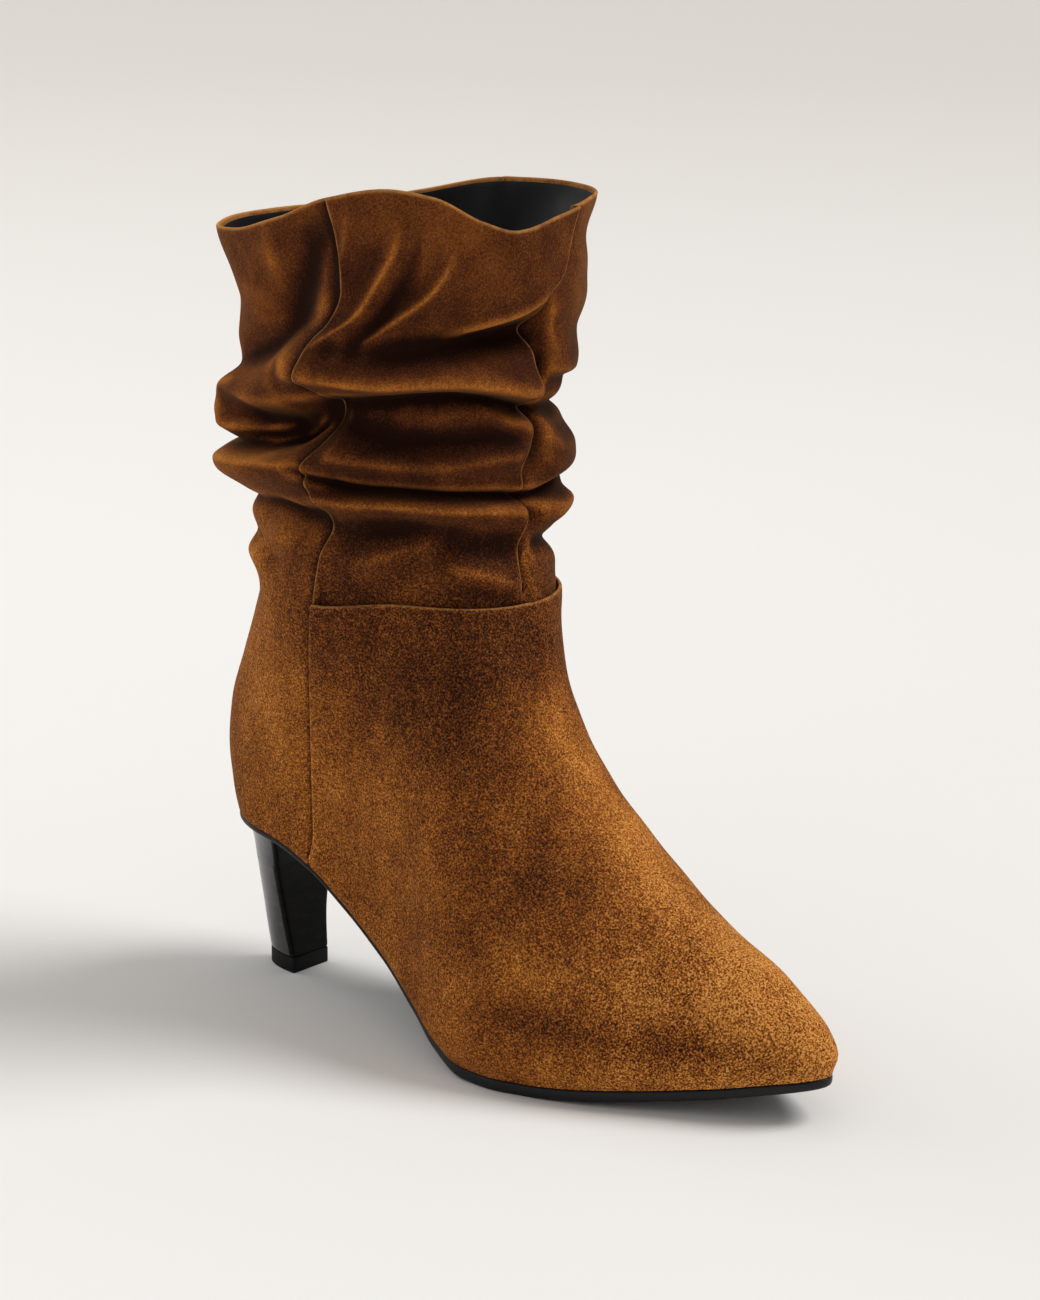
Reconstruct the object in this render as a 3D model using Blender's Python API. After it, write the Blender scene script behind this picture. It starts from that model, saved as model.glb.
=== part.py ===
"""Slouch boot, right foot: a hollow suede upper on a thin outsole, a slim heel and its top lift.

Metres, +Z up, +X to the toe, +Y to the wearer's left (the inner side of this right boot).
Angles around the shaft run from the back (0) over the outer side (90) to the front (180).
"""
import math

import bmesh
import bpy
import numpy as np

# Main sizes
LENGTH = 0.2445
BALL_WIDTH = 0.0800
HEEL_LIFT = 0.0535
TOE_SPRING = 0.0115
ANKLE_HEIGHT = 0.1430
COLLAR_HEIGHT = 0.2790
SHAFT_LENGTH = 0.1160
SHAFT_WIDTH = 0.0900

# Thicknesses and clearances
WALL = 0.0019
VAMP_STEP = 0.0010
SOLE_THICKNESS = 0.0040
SOLE_SIDE_SHARE = 0.72
SOLE_SIDE_INSET = 0.0002
SOLE_TREAD_INSET = 0.0011
INSOLE_THICKNESS = 0.0020
GAP = 0.0003
INSOLE_CLEARANCE = 0.0006

# Heel
HEEL_TIP_HEIGHT = 0.0055
HEEL_TIP_LENGTH = 0.0172
HEEL_TIP_WIDTH = 0.0168
HEEL_TOP_LENGTH = 0.0258
HEEL_TOP_WIDTH = 0.0410
HEEL_FRONT_STATION = 0.1265
HEEL_SIDE_SHIFT = -0.0005
HEEL_ROUND_POINTS = 23
HEEL_FLAT_POINTS = 7

# How the upper swells over the sole edge, and how softly shaft and foot run together
UPPER_SWELL = 0.0022
TOE_SWELL = 0.0002
SWELL_HEIGHT = 0.0090
SWELL_DROP_AT_TOE = 0.45
TUCK_DEPTH = 0.0290
BLEND = 0.0450
REAR_BLEND_SHARE = 0.25

# Toe and heel ends of the sole's outline, and where it begins at the back, as shares of the length
TOE_ROUND = 0.125
HEEL_ROUND = 0.100
SOLE_BACK = 0.030

# Where the foot's form runs out inside the ankle, as shares of the length
FOOT_BACK_START = 0.46
FOOT_BACK_ROUND = 0.36

# Place of the seam between the vamp and the rear panel on the sole edge, as a share of the length
SEAM_STATION = 0.235

# Just over the vamp's edge the shaft comes out from under it, the folds begin within the slack
# rise, and they no longer hang near the collar
VAMP_EDGE_RISE = 0.0006
SLACK_RISE = 0.0120
COLLAR_REST = 0.0200

# Grid of the upper
REAR_COLUMNS = 12
FRONT_COLUMNS = 19
FOOT_ROWS = 13
SHAFT_ROWS = 27
PASSES = 14
EVEN_PASSES = 3
NORMAL_PASSES = 3

# Small steps used while points settle onto the form
PROBE = 0.0004
LONGEST_MOVE = 0.0120
LEAST_SLOPE = 0.05

# First guess of each column's curve from the sole edge to the ankle: how it leaves the edge, how
# it comes down from the ankle, and how far it leans out
GUESS_LEAVE = 0.0120
GUESS_LEAVE_SHARE = 0.22
GUESS_DROP_SHARE = 0.10
GUESS_REACH_SHARE = 0.45
GUESS_LEAN = 0.25

# Points around the outlines of outsole and insole
SOLE_POINTS = 76

# Sole edge. station: share of the length from the back. outer, inner: distance of the edge from
# the heel's middle line, share of the ball width. lift: share of the heel lift. spring: share of
# the toe spring. sole: share of the sole thickness.
EDGE_COLUMNS = ("station", "outer", "inner", "lift", "spring", "sole")
EDGE = (
    (0.00, 0.315, 0.335, 1.000, 0.00, 0.70),
    (0.08, 0.315, 0.345, 0.990, 0.00, 0.70),
    (0.16, 0.335, 0.350, 0.950, 0.00, 0.70),
    (0.23, 0.350, 0.345, 0.850, 0.00, 0.70),
    (0.30, 0.352, 0.330, 0.655, 0.00, 0.70),
    (0.37, 0.365, 0.325, 0.435, 0.00, 0.72),
    (0.44, 0.415, 0.350, 0.220, 0.00, 0.80),
    (0.50, 0.485, 0.395, 0.085, 0.00, 0.92),
    (0.56, 0.530, 0.435, 0.010, 0.00, 1.00),
    (0.60, 0.530, 0.460, 0.000, 0.00, 1.00),
    (0.66, 0.488, 0.478, 0.000, 0.00, 1.00),
    (0.72, 0.428, 0.458, 0.000, 0.08, 1.00),
    (0.80, 0.310, 0.395, 0.000, 0.26, 0.95),
    (0.88, 0.180, 0.315, 0.000, 0.50, 0.90),
    (0.94, 0.110, 0.270, 0.000, 0.75, 0.85),
    (1.00, 0.070, 0.240, 0.000, 1.00, 0.80),
)

# Top of the foot. station: share of the length. ridge: height of the top line, share of the
# ankle height. middle: its place sideways, share of the ball width. peak: 2 is round, less is
# more like a ridge.
TOP_COLUMNS = ("station", "ridge", "middle", "peak")
TOP = (
    (0.30, 1.130, -0.010, 2.2),
    (0.40, 1.090, -0.010, 2.2),
    (0.49, 0.925, -0.012, 2.1),
    (0.57, 0.742, -0.012, 1.9),
    (0.65, 0.586, -0.005, 1.8),
    (0.73, 0.464, 0.015, 1.9),
    (0.78, 0.403, 0.035, 2.0),
    (0.82, 0.360, 0.052, 2.1),
    (0.88, 0.306, 0.070, 2.3),
    (0.94, 0.256, 0.085, 2.4),
    (1.00, 0.215, 0.090, 2.4),
)

# Ankle and shaft. height: share of the collar height. back, front: distance from the shaft's
# axis, share of the shaft length. outer, inner: distance sideways, share of the shaft width.
SHAFT_AXIS_STATION = 0.3000
SHAFT_COLUMNS = ("height", "back", "front", "outer", "inner")
SHAFT = (
    (0.140, 0.545, 0.00, 0.240, 0.260),
    (0.204, 0.570, 0.06, 0.285, 0.305),
    (0.237, 0.606, 0.10, 0.308, 0.328),
    (0.283, 0.620, 0.16, 0.330, 0.347),
    (0.340, 0.600, 0.24, 0.360, 0.372),
    (0.412, 0.530, 0.34, 0.400, 0.405),
    (0.466, 0.470, 0.39, 0.434, 0.434),
    (0.513, 0.440, 0.415, 0.455, 0.452),
    (0.573, 0.450, 0.43, 0.465, 0.462),
    (0.717, 0.480, 0.47, 0.485, 0.485),
    (0.842, 0.505, 0.50, 0.500, 0.500),
    (0.920, 0.535, 0.52, 0.530, 0.530),
    (1.000, 0.575, 0.56, 0.565, 0.565),
)

# Top edge of the vamp. angle: degrees around the shaft. height: share of the ankle height.
VAMP_COLUMNS = ("angle", "height")
VAMP = (
    (0, 1.000),
    (60, 1.000),
    (90, 1.003),
    (130, 1.034),
    (176, 1.024),
    (230, 1.024),
    (270, 1.003),
    (300, 1.000),
)

# Collar edge. angle: degrees around the shaft. height: share of the collar height.
COLLAR_COLUMNS = ("angle", "height")
COLLAR = (
    (0, 0.922),
    (30, 0.922),
    (60, 0.931),
    (84, 0.956),
    (102, 0.984),
    (122, 0.999),
    (135, 0.992),
    (152, 0.964),
    (165, 0.952),
    (185, 0.964),
    (207, 0.975),
    (240, 0.972),
    (270, 0.964),
    (300, 0.940),
    (330, 0.922),
)

# Folds of the slack shaft. angle, spread: degrees around the shaft. height: share of the collar
# height. tall: half height of the fold, share of the collar height. out: how far it stands out
# (or in, when negative), share of the shaft width. slope: how much its height grows over one
# spread, share of the collar height. droop: how far it hangs over what is below, share of the
# collar height.
FOLD_COLUMNS = ("angle", "spread", "height", "tall", "out", "slope", "droop")
FOLDS = (
    (128, 46, 0.812, 0.034, 0.062, -0.006, 0.008),
    (128, 46, 0.750, 0.024, -0.048, -0.004, 0.000),
    (98, 20, 0.865, 0.026, 0.032, 0.040, 0.000),
    (118, 16, 0.885, 0.024, -0.028, 0.040, 0.000),
    (140, 42, 0.703, 0.026, 0.040, -0.004, 0.004),
    (135, 48, 0.650, 0.022, -0.036, -0.004, 0.000),
    (140, 44, 0.608, 0.026, 0.030, 0.002, 0.002),
    (140, 50, 0.545, 0.022, -0.022, 0.000, 0.000),
    (50, 26, 0.778, 0.022, -0.030, 0.010, 0.000),
    (48, 28, 0.728, 0.028, 0.072, 0.004, 0.004),
    (48, 26, 0.686, 0.018, -0.030, 0.004, 0.000),
    (46, 26, 0.648, 0.024, 0.068, 0.004, 0.002),
    (50, 30, 0.590, 0.024, -0.020, 0.000, 0.000),
    (205, 22, 0.792, 0.026, 0.030, 0.006, 0.003),
    (208, 24, 0.742, 0.024, -0.060, 0.006, 0.000),
    (208, 24, 0.690, 0.026, 0.030, 0.004, 0.002),
    (208, 24, 0.632, 0.024, 0.026, 0.002, 0.002),
    (206, 24, 0.580, 0.022, -0.035, 0.000, 0.000),
    (272, 40, 0.752, 0.034, 0.050, 0.006, 0.008),
    (272, 44, 0.698, 0.022, -0.040, 0.006, 0.000),
    (275, 40, 0.658, 0.022, 0.028, 0.004, 0.002),
    (270, 42, 0.610, 0.026, -0.022, 0.004, 0.000),
    (325, 26, 0.600, 0.034, 0.030, -0.030, 0.000),
    (345, 24, 0.762, 0.030, 0.042, -0.004, 0.004),
    (345, 24, 0.710, 0.022, -0.034, -0.004, 0.000),
    (350, 24, 0.664, 0.026, 0.034, 0.000, 0.002),
)

# Heel block. height: share from its foot to its seat. front: how far its front lies behind the
# foot's front, share of the tip length. back, half: share of the way from the tip's length and
# width to those at the seat.
HEEL_COLUMNS = ("height", "front", "back", "half")
HEEL = (
    (0.00, 0.00, 0.00, 0.00),
    (0.14, 0.06, 0.02, 0.06),
    (0.30, 0.11, 0.10, 0.17),
    (0.48, 0.13, 0.24, 0.33),
    (0.66, 0.10, 0.42, 0.52),
    (0.82, 0.00, 0.63, 0.72),
    (0.93, -0.08, 0.83, 0.88),
    (1.00, -0.16, 1.00, 1.00),
)


def column(table, names, name):
    """One named column of a table, as an array."""
    return np.array([row[names.index(name)] for row in table], float)


def slopes(x, y):
    """Slopes for a cubic curve through the points that never overshoots them."""
    step = np.diff(x)
    rise = np.diff(y) / step
    out = np.zeros_like(y)
    for i in range(1, len(x) - 1):
        if rise[i - 1] * rise[i] > 0:
            first = 2 * step[i] + step[i - 1]
            second = step[i] + 2 * step[i - 1]
            out[i] = (first + second) / (first / rise[i - 1] + second / rise[i])
    out[0] = rise[0]
    out[-1] = rise[-1]
    return out


def smooth(x, y, at):
    """Read the smooth curve through (x, y) at the places given."""
    at = np.clip(np.asarray(at, float), x[0], x[-1])
    tangent = slopes(x, y)
    i = np.clip(np.searchsorted(x, at, side="right") - 1, 0, len(x) - 2)
    h = x[i + 1] - x[i]
    t = (at - x[i]) / h
    start = (1 + 2 * t) * (1 - t) ** 2 * y[i] + t * (1 - t) ** 2 * h * tangent[i]
    end = t * t * (3 - 2 * t) * y[i + 1] + t * t * (t - 1) * h * tangent[i + 1]
    return start + end


def edge(name, station):
    return smooth(column(EDGE, EDGE_COLUMNS, "station"), column(EDGE, EDGE_COLUMNS, name), station)


def top(name, station):
    return smooth(column(TOP, TOP_COLUMNS, "station"), column(TOP, TOP_COLUMNS, name), station)


def shaft(name, height):
    return smooth(column(SHAFT, SHAFT_COLUMNS, "height"), column(SHAFT, SHAFT_COLUMNS, name), height)


def sole_top(x):
    """Height of the sole's upper face, from the heel seat over the arch to the toe."""
    station = x / LENGTH
    return SOLE_THICKNESS + HEEL_LIFT * edge("lift", station) + TOE_SPRING * edge("spring", station)


def sole_bottom(x):
    return sole_top(x) - SOLE_THICKNESS * edge("sole", x / LENGTH)


def end_round(station):
    """1 along the foot, falling to 0 in a round at the heel and at the toe."""
    toe = np.clip((station - (1 - TOE_ROUND)) / TOE_ROUND, 0, 1)
    heel = np.clip((HEEL_ROUND + SOLE_BACK - station) / HEEL_ROUND, 0, 1)
    return np.sqrt(np.maximum(1 - toe ** 2 - heel ** 2, 0))


def edge_line(count, side):
    """Points of the sole's edge on one side, from the back to the toe tip."""
    station = SOLE_BACK + (1 - SOLE_BACK) * (1 - np.cos(np.linspace(0, math.pi, count))) / 2
    outer = -BALL_WIDTH * edge("outer", station)
    inner = BALL_WIDTH * edge("inner", station)
    middle = (outer + inner) / 2
    half = (inner - outer) / 2 * end_round(station)
    return np.stack([LENGTH * station, middle + side * half], 1)


def along(line, shares):
    """Points of a line at shares of its length."""
    length = np.concatenate([[0], np.cumsum(np.linalg.norm(np.diff(line, axis=0), axis=1))])
    wanted = np.asarray(shares) * length[-1]
    return np.stack([np.interp(wanted, length, line[:, k]) for k in range(line.shape[1])], 1)


def share_at_x(line, x):
    """Share of a line's length where it crosses the given x."""
    length = np.concatenate([[0], np.cumsum(np.linalg.norm(np.diff(line, axis=0), axis=1))])
    return float(np.interp(x, line[:, 0], length) / length[-1])


def fade(value, start, end):
    """0 below start, 1 above end, smooth between them."""
    t = np.clip((value - start) / (end - start), 0, 1)
    return t * t * (3 - 2 * t)


def foot_distance(p):
    """How far a point lies outside the foot's form, in metres, roughly."""
    station = np.clip(p[..., 0] / LENGTH, 0, 1)
    middle = BALL_WIDTH * top("middle", station)
    outer = BALL_WIDTH * edge("outer", station) + UPPER_SWELL + middle
    inner = BALL_WIDTH * edge("inner", station) + UPPER_SWELL - middle
    side = p[..., 1] - middle
    half = np.where(side < 0, outer, inner)
    waist = sole_top(p[..., 0]) + SWELL_HEIGHT * (1 - SWELL_DROP_AT_TOE * edge("spring", station))
    ridge = ANKLE_HEIGHT * top("ridge", station)
    above = np.maximum(p[..., 2] - waist, 0) / np.maximum(ridge - waist, 0.001)
    below = np.maximum(waist - p[..., 2], 0) / TUCK_DEPTH
    share = p[..., 0] / LENGTH
    toe = np.maximum((share - (1 - TOE_ROUND)) / (TOE_ROUND + TOE_SWELL / LENGTH), 0)
    back = np.maximum((FOOT_BACK_START - share) / FOOT_BACK_ROUND, 0)
    ends = toe ** 2 + back ** 2
    round_sum = np.abs(side / half) ** 2 + above ** top("peak", station) + below ** 2 + ends
    return (np.sqrt(round_sum) - 1) * half


def shaft_distance(p):
    """How far a point lies outside the ankle and shaft's form, in metres, roughly."""
    height = p[..., 2] / COLLAR_HEIGHT
    back = -SHAFT_LENGTH * shaft("back", height)
    front = SHAFT_LENGTH * shaft("front", height)
    axis = LENGTH * SHAFT_AXIS_STATION + (back + front) / 2
    half_length = (front - back) / 2
    outer = SHAFT_WIDTH * shaft("outer", height)
    inner = SHAFT_WIDTH * shaft("inner", height)
    half = np.where(p[..., 1] < 0, outer, inner)
    ratio = np.sqrt(((p[..., 0] - axis) / half_length) ** 2 + (p[..., 1] / half) ** 2)
    return (ratio - 1) * half


def body_distance(p):
    """Foot and shaft run together softly."""
    a = foot_distance(p)
    b = shaft_distance(p)
    front = fade(p[..., 0] / LENGTH, 0.25, 0.50)
    blend = BLEND * (REAR_BLEND_SHARE + (1 - REAR_BLEND_SHARE) * front)
    near = np.maximum(blend - np.abs(a - b), 0) / blend
    return np.minimum(a, b) - near ** 3 * blend / 6


def gradient(p):
    """Direction in which the distance grows, by small steps."""
    out = np.zeros_like(p)
    for k in range(3):
        shift = np.zeros(3)
        shift[k] = PROBE
        out[..., k] = (body_distance(p + shift) - body_distance(p - shift)) / (2 * PROBE)
    return out


def settle(p, level):
    """Move points onto the form. Level points keep their height."""
    for _ in range(PASSES):
        slope = gradient(p)
        if level:
            slope[..., 2] = 0
        size = np.maximum((slope ** 2).sum(-1, keepdims=True), LEAST_SLOPE)
        move = -body_distance(p)[..., None] * slope / size
        length = np.linalg.norm(move, axis=-1, keepdims=True)
        p = p + move * np.minimum(1, LONGEST_MOVE / np.maximum(length, 1e-9))
    return p


def even_rows(grid, first, last):
    """Space the points of each column evenly between two rows."""
    for i in range(grid.shape[1]):
        grid[first:last + 1, i] = along(grid[first:last + 1, i], np.linspace(0, 1, last - first + 1))
    return grid


def column_shares(line):
    """Shares of the edge line at which the columns stand, even on either side of the seam."""
    seam = share_at_x(line, SEAM_STATION * LENGTH)
    rear = np.linspace(0, seam, REAR_COLUMNS + 1)
    front = np.linspace(seam, 1, FRONT_COLUMNS + 1)
    return np.concatenate([rear, front[1:]])


def edge_columns():
    """Sole edge points for every column: back, outer side, toe, inner side."""
    outer = edge_line(400, -1)
    inner = edge_line(400, 1)
    outer = along(outer, column_shares(outer))
    inner = along(inner, column_shares(inner))
    return np.concatenate([outer, inner[-2:0:-1]])


def column_angles():
    """Angle around the shaft for every column, in degrees."""
    rear = np.linspace(0, 90, REAR_COLUMNS + 1)
    front = np.linspace(90, 180, FRONT_COLUMNS + 1)
    outer = np.concatenate([rear, front[1:]])
    return np.concatenate([outer, 360 - outer[-2:0:-1]])


def shaft_points(angle, height):
    """Points of the plain shaft at an angle and a height."""
    share = height / COLLAR_HEIGHT
    back = -SHAFT_LENGTH * shaft("back", share)
    front = SHAFT_LENGTH * shaft("front", share)
    axis = LENGTH * SHAFT_AXIS_STATION + (back + front) / 2
    turn = np.radians(angle)
    side = np.sin(turn)
    half = SHAFT_WIDTH * np.where(side > 0, shaft("outer", share), shaft("inner", share))
    return np.stack([axis - (front - back) / 2 * np.cos(turn), -half * side, height], -1)


def around(table, names, angle):
    """Height share of a table that runs around the shaft."""
    table_angle = column(table, names, "angle")
    table_height = column(table, names, "height")
    table_angle = np.concatenate([table_angle - 360, table_angle, table_angle + 360])
    return smooth(table_angle, np.tile(table_height, 3), angle)


def collar_height(angle):
    return COLLAR_HEIGHT * around(COLLAR, COLLAR_COLUMNS, angle)


def vamp_height(angle):
    return ANKLE_HEIGHT * around(VAMP, VAMP_COLUMNS, angle)


def fold_shift(angle, height):
    """How far the folds push the shaft out and let it hang, at an angle and a height."""
    out = np.zeros_like(height)
    down = np.zeros_like(height)
    for row in FOLDS:
        fold = dict(zip(FOLD_COLUMNS, row))
        turn = ((angle - fold["angle"] + 180) % 360 - 180) / fold["spread"]
        rise = (height / COLLAR_HEIGHT - fold["height"] - fold["slope"] * turn) / fold["tall"]
        weight = np.exp(-turn ** 4 - rise ** 2)
        out += SHAFT_WIDTH * fold["out"] * weight
        down += COLLAR_HEIGHT * fold["droop"] * weight
    return out, down


def upper_grid():
    """Outer face of the upper, rows from the sole edge to the collar, columns around."""
    feet = edge_columns()
    angle = column_angles()
    start = np.column_stack([feet, sole_top(feet[:, 0]) + GAP])
    ring_height = vamp_height(angle)
    ring = shaft_points(angle, ring_height)
    ring = settle(ring, True)
    rise = (ring[:, 2] - start[:, 2])[:, None]
    pull = np.linalg.norm(ring[:, :2] - start[:, :2], axis=1)[:, None]
    up = np.array([0, 0, 1])
    first = start + up * (GUESS_LEAVE + GUESS_LEAVE_SHARE * rise)
    second = ring - up * (GUESS_DROP_SHARE * rise + GUESS_REACH_SHARE * pull)
    second[:, :2] += GUESS_LEAN * (start[:, :2] - ring[:, :2])
    t = np.linspace(0, 1, FOOT_ROWS + 1)[:, None, None]
    foot = (1 - t) ** 3 * start + 3 * t * (1 - t) ** 2 * first + 3 * t * t * (1 - t) * second + t ** 3 * ring
    foot[1:-1] = settle(foot[1:-1], False)
    for _ in range(EVEN_PASSES):
        foot = even_rows(foot, 0, FOOT_ROWS)
        foot[1:-1] = settle(foot[1:-1], False)
    collar = collar_height(angle)
    share = np.linspace(0, 1, SHAFT_ROWS)[:, None]
    start_height = ring_height + VAMP_EDGE_RISE
    height = start_height + (collar - start_height)[None, :] * share
    wide_angle = np.broadcast_to(angle, height.shape)
    tall = settle(shaft_points(wide_angle, height), True)
    out, down = fold_shift(wide_angle, height)
    slack = fade(height - ring_height, 0.0, SLACK_RISE)
    turn = np.radians(wide_angle)
    tall[..., 0] -= slack * out * np.cos(turn)
    tall[..., 1] -= slack * out * np.sin(turn)
    tall[..., 2] -= slack * down * fade(collar - height, 0.0, COLLAR_REST)
    return np.concatenate([foot, tall])


def grid_normals(grid):
    """Outward directions of a grid that closes around."""
    around = np.roll(grid, -1, axis=1) - np.roll(grid, 1, axis=1)
    upward = np.gradient(grid, axis=0)
    normal = np.cross(upward, around)
    normal /= np.maximum(np.linalg.norm(normal, axis=-1, keepdims=True), 1e-12)
    return normal


def soften(grid, times):
    """Average each point with its neighbours, keeping the first and last row."""
    for _ in range(times):
        around = (np.roll(grid, 1, axis=1) + np.roll(grid, -1, axis=1)) / 2
        middle = grid.copy()
        middle[1:-1] = (grid[2:] + grid[:-2]) / 2
        grid = (2 * grid + around + middle) / 4
        grid /= np.maximum(np.linalg.norm(grid, axis=-1, keepdims=True), 1e-12)
    return grid


def upper_faces():
    """Outer and inner faces of the upper."""
    plain = upper_grid()
    normal = soften(grid_normals(plain), NORMAL_PASSES)
    flat = normal[0].copy()
    flat[:, 2] = 0
    normal[0] = flat / np.linalg.norm(flat, axis=1, keepdims=True)
    inner = plain - WALL * normal
    inner[0, :, 2] = plain[0, :, 2]
    inner[-1, :, 2] = plain[-1, :, 2]
    columns = plain.shape[1]
    index = np.arange(columns)
    from_seam = np.minimum(index, columns - index) - REAR_COLUMNS
    vamp = (from_seam >= 0).astype(float)
    outer = plain.copy()
    outer[1:FOOT_ROWS + 1] += VAMP_STEP * vamp[None, :, None] * normal[1:FOOT_ROWS + 1]
    return outer, inner


def new_object(name, verts, faces, material):
    """Make a closed mesh object with its material and faces pointing out."""
    mesh = bpy.data.meshes.new(name)
    mesh.from_pydata([tuple(map(float, v)) for v in verts], [], faces)
    bm = bmesh.new()
    bm.from_mesh(mesh)
    bmesh.ops.recalc_face_normals(bm, faces=bm.faces)
    bm.to_mesh(mesh)
    bm.free()
    obj = bpy.data.objects.new(name, mesh)
    obj.data.materials.append(material)
    bpy.context.scene.collection.objects.link(obj)
    return obj


def new_material(name, color, roughness, metallic):
    material = bpy.data.materials.new(name)
    material.use_nodes = True
    shader = material.node_tree.nodes["Principled BSDF"]
    shader.inputs["Base Color"].default_value = (*color, 1)
    shader.inputs["Roughness"].default_value = roughness
    shader.inputs["Metallic"].default_value = metallic
    return material


def shade_smooth(obj, degrees):
    obj.data.polygons.foreach_set("use_smooth", [True] * len(obj.data.polygons))
    obj.data.set_sharp_from_angle(angle=math.radians(degrees))


def ring_faces(first, second, count):
    """Quads between two closed rings of points, given by their first indices."""
    return [(first + i, first + (i + 1) % count, second + (i + 1) % count, second + i) for i in range(count)]


def ladder_faces(first, count):
    """Faces that fill a closed ring by rungs from one side to the other. The ring has a point at
    the back and one at the toe, and equal numbers on either side."""
    half = count // 2
    faces = [(first, first + 1, first + count - 1)]
    for i in range(1, half - 1):
        faces.append((first + i, first + i + 1, first + count - i - 1, first + count - i))
    faces.append((first + half - 1, first + half, first + half + 1))
    return faces


def make_upper(material):
    outer, inner = upper_faces()
    rows, columns = outer.shape[:2]
    verts = np.concatenate([outer.reshape(-1, 3), inner.reshape(-1, 3)])
    shift = rows * columns
    faces = []
    for j in range(rows - 1):
        faces += ring_faces(j * columns, (j + 1) * columns, columns)
        faces += ring_faces(shift + (j + 1) * columns, shift + j * columns, columns)
    faces += ring_faces(shift, 0, columns)
    faces += ring_faces((rows - 1) * columns, shift + (rows - 1) * columns, columns)
    obj = new_object("upper", verts, faces, material)
    shade_smooth(obj, 50)
    return obj


def outline_ring(count, inset):
    """Closed outline of the sole, inset evenly. Rungs join points of the same station."""
    half = count // 2
    outer = edge_line(half + 1, -1)
    inner = edge_line(half + 1, 1)
    ring = np.concatenate([outer, inner[-2:0:-1]])
    along_ring = np.roll(ring, -1, axis=0) - np.roll(ring, 1, axis=0)
    normal = np.stack([-along_ring[:, 1], along_ring[:, 0]], 1)
    normal /= np.linalg.norm(normal, axis=1, keepdims=True)
    ring = ring + inset * normal
    return ring


def make_outsole(material):
    count = SOLE_POINTS
    full = outline_ring(count, 0.0)
    low = outline_ring(count, SOLE_SIDE_INSET)
    floor = outline_ring(count, SOLE_TREAD_INSET)
    thick = sole_top(full[:, 0]) - sole_bottom(full[:, 0])
    top_ring = np.column_stack([full, sole_top(full[:, 0])])
    low_ring = np.column_stack([low, sole_top(full[:, 0]) - SOLE_SIDE_SHARE * thick])
    floor_ring = np.column_stack([floor, sole_top(full[:, 0]) - thick])
    verts = np.concatenate([top_ring, low_ring, floor_ring])
    faces = ladder_faces(0, count)
    faces += ring_faces(0, count, count)
    faces += ring_faces(count, 2 * count, count)
    faces += ladder_faces(2 * count, count)
    obj = new_object("outsole", verts, faces, material)
    shade_smooth(obj, 35)
    return obj


def make_insole(material):
    count = SOLE_POINTS
    ring = outline_ring(count, WALL + INSOLE_CLEARANCE)
    base = sole_top(ring[:, 0]) + GAP
    verts = np.concatenate([np.column_stack([ring, base + INSOLE_THICKNESS]), np.column_stack([ring, base])])
    faces = ladder_faces(0, count) + ring_faces(0, count, count) + ladder_faces(count, count)
    obj = new_object("insole", verts, faces, material)
    shade_smooth(obj, 35)
    return obj


def heel_outline(front, length, width, flat_points):
    """Outline with a flat front and a round back."""
    turn = np.linspace(-math.pi / 2, math.pi / 2, HEEL_ROUND_POINTS + 2)
    back = np.stack([front - length * np.cos(turn), HEEL_SIDE_SHIFT + width / 2 * np.sin(turn)], 1)
    side = np.linspace(width / 2, -width / 2, flat_points + 2)[1:-1]
    flat = np.stack([np.full(flat_points, front), HEEL_SIDE_SHIFT + side], 1)
    return np.concatenate([back, flat])


def make_heel(material):
    front = HEEL_FRONT_STATION * LENGTH
    count = HEEL_FLAT_POINTS + HEEL_ROUND_POINTS + 2
    foot = HEEL_TIP_HEIGHT + GAP
    verts = []
    for row in HEEL:
        level = dict(zip(HEEL_COLUMNS, row))
        x = front - HEEL_TIP_LENGTH * level["front"]
        length = HEEL_TIP_LENGTH + (HEEL_TOP_LENGTH - HEEL_TIP_LENGTH) * level["back"]
        width = HEEL_TIP_WIDTH + (HEEL_TOP_WIDTH - HEEL_TIP_WIDTH) * level["half"]
        ring = heel_outline(x, length, width, HEEL_FLAT_POINTS)
        seat = sole_bottom(ring[:, 0]) - GAP
        verts.append(np.column_stack([ring, foot + level["height"] * (seat - foot)]))
    rings = len(verts)
    faces = [tuple(range(count))]
    for j in range(rings - 1):
        faces += ring_faces(j * count, (j + 1) * count, count)
    first = (rings - 1) * count
    faces += heel_top_faces(first)
    obj = new_object("heel", np.concatenate(verts), faces, material)
    shade_smooth(obj, 35)
    return obj


def heel_top_faces(first):
    """Rungs across the seat of the heel, from its front to the round back."""
    high = HEEL_ROUND_POINTS + 1
    front = [first + high + i for i in range(HEEL_FLAT_POINTS + 1)] + [first]
    faces = [tuple(front + [first + 1, first + high - 1])]
    low = 1
    high -= 1
    while high - low > 2:
        faces.append((first + low, first + low + 1, first + high - 1, first + high))
        low += 1
        high -= 1
    faces.append(tuple(first + i for i in range(low, high + 1)))
    return faces


def make_heel_tip(material):
    front = HEEL_FRONT_STATION * LENGTH
    ring = heel_outline(front, HEEL_TIP_LENGTH, HEEL_TIP_WIDTH, 1)
    count = len(ring)
    verts = np.concatenate([
        np.column_stack([ring, np.full(count, HEEL_TIP_HEIGHT)]),
        np.column_stack([ring, np.zeros(count)]),
    ])
    faces = [tuple(range(count)), tuple(range(count, 2 * count))] + ring_faces(0, count, count)
    obj = new_object("heel_tip", verts, faces, material)
    shade_smooth(obj, 35)
    return obj


def center(objects):
    """Put the middle of the boot's footprint on the origin."""
    corners = np.array([v.co for obj in objects for v in obj.data.vertices])
    middle = (corners.min(axis=0) + corners.max(axis=0)) / 2
    for obj in objects:
        obj.location = (-middle[0], -middle[1], 0)


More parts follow.
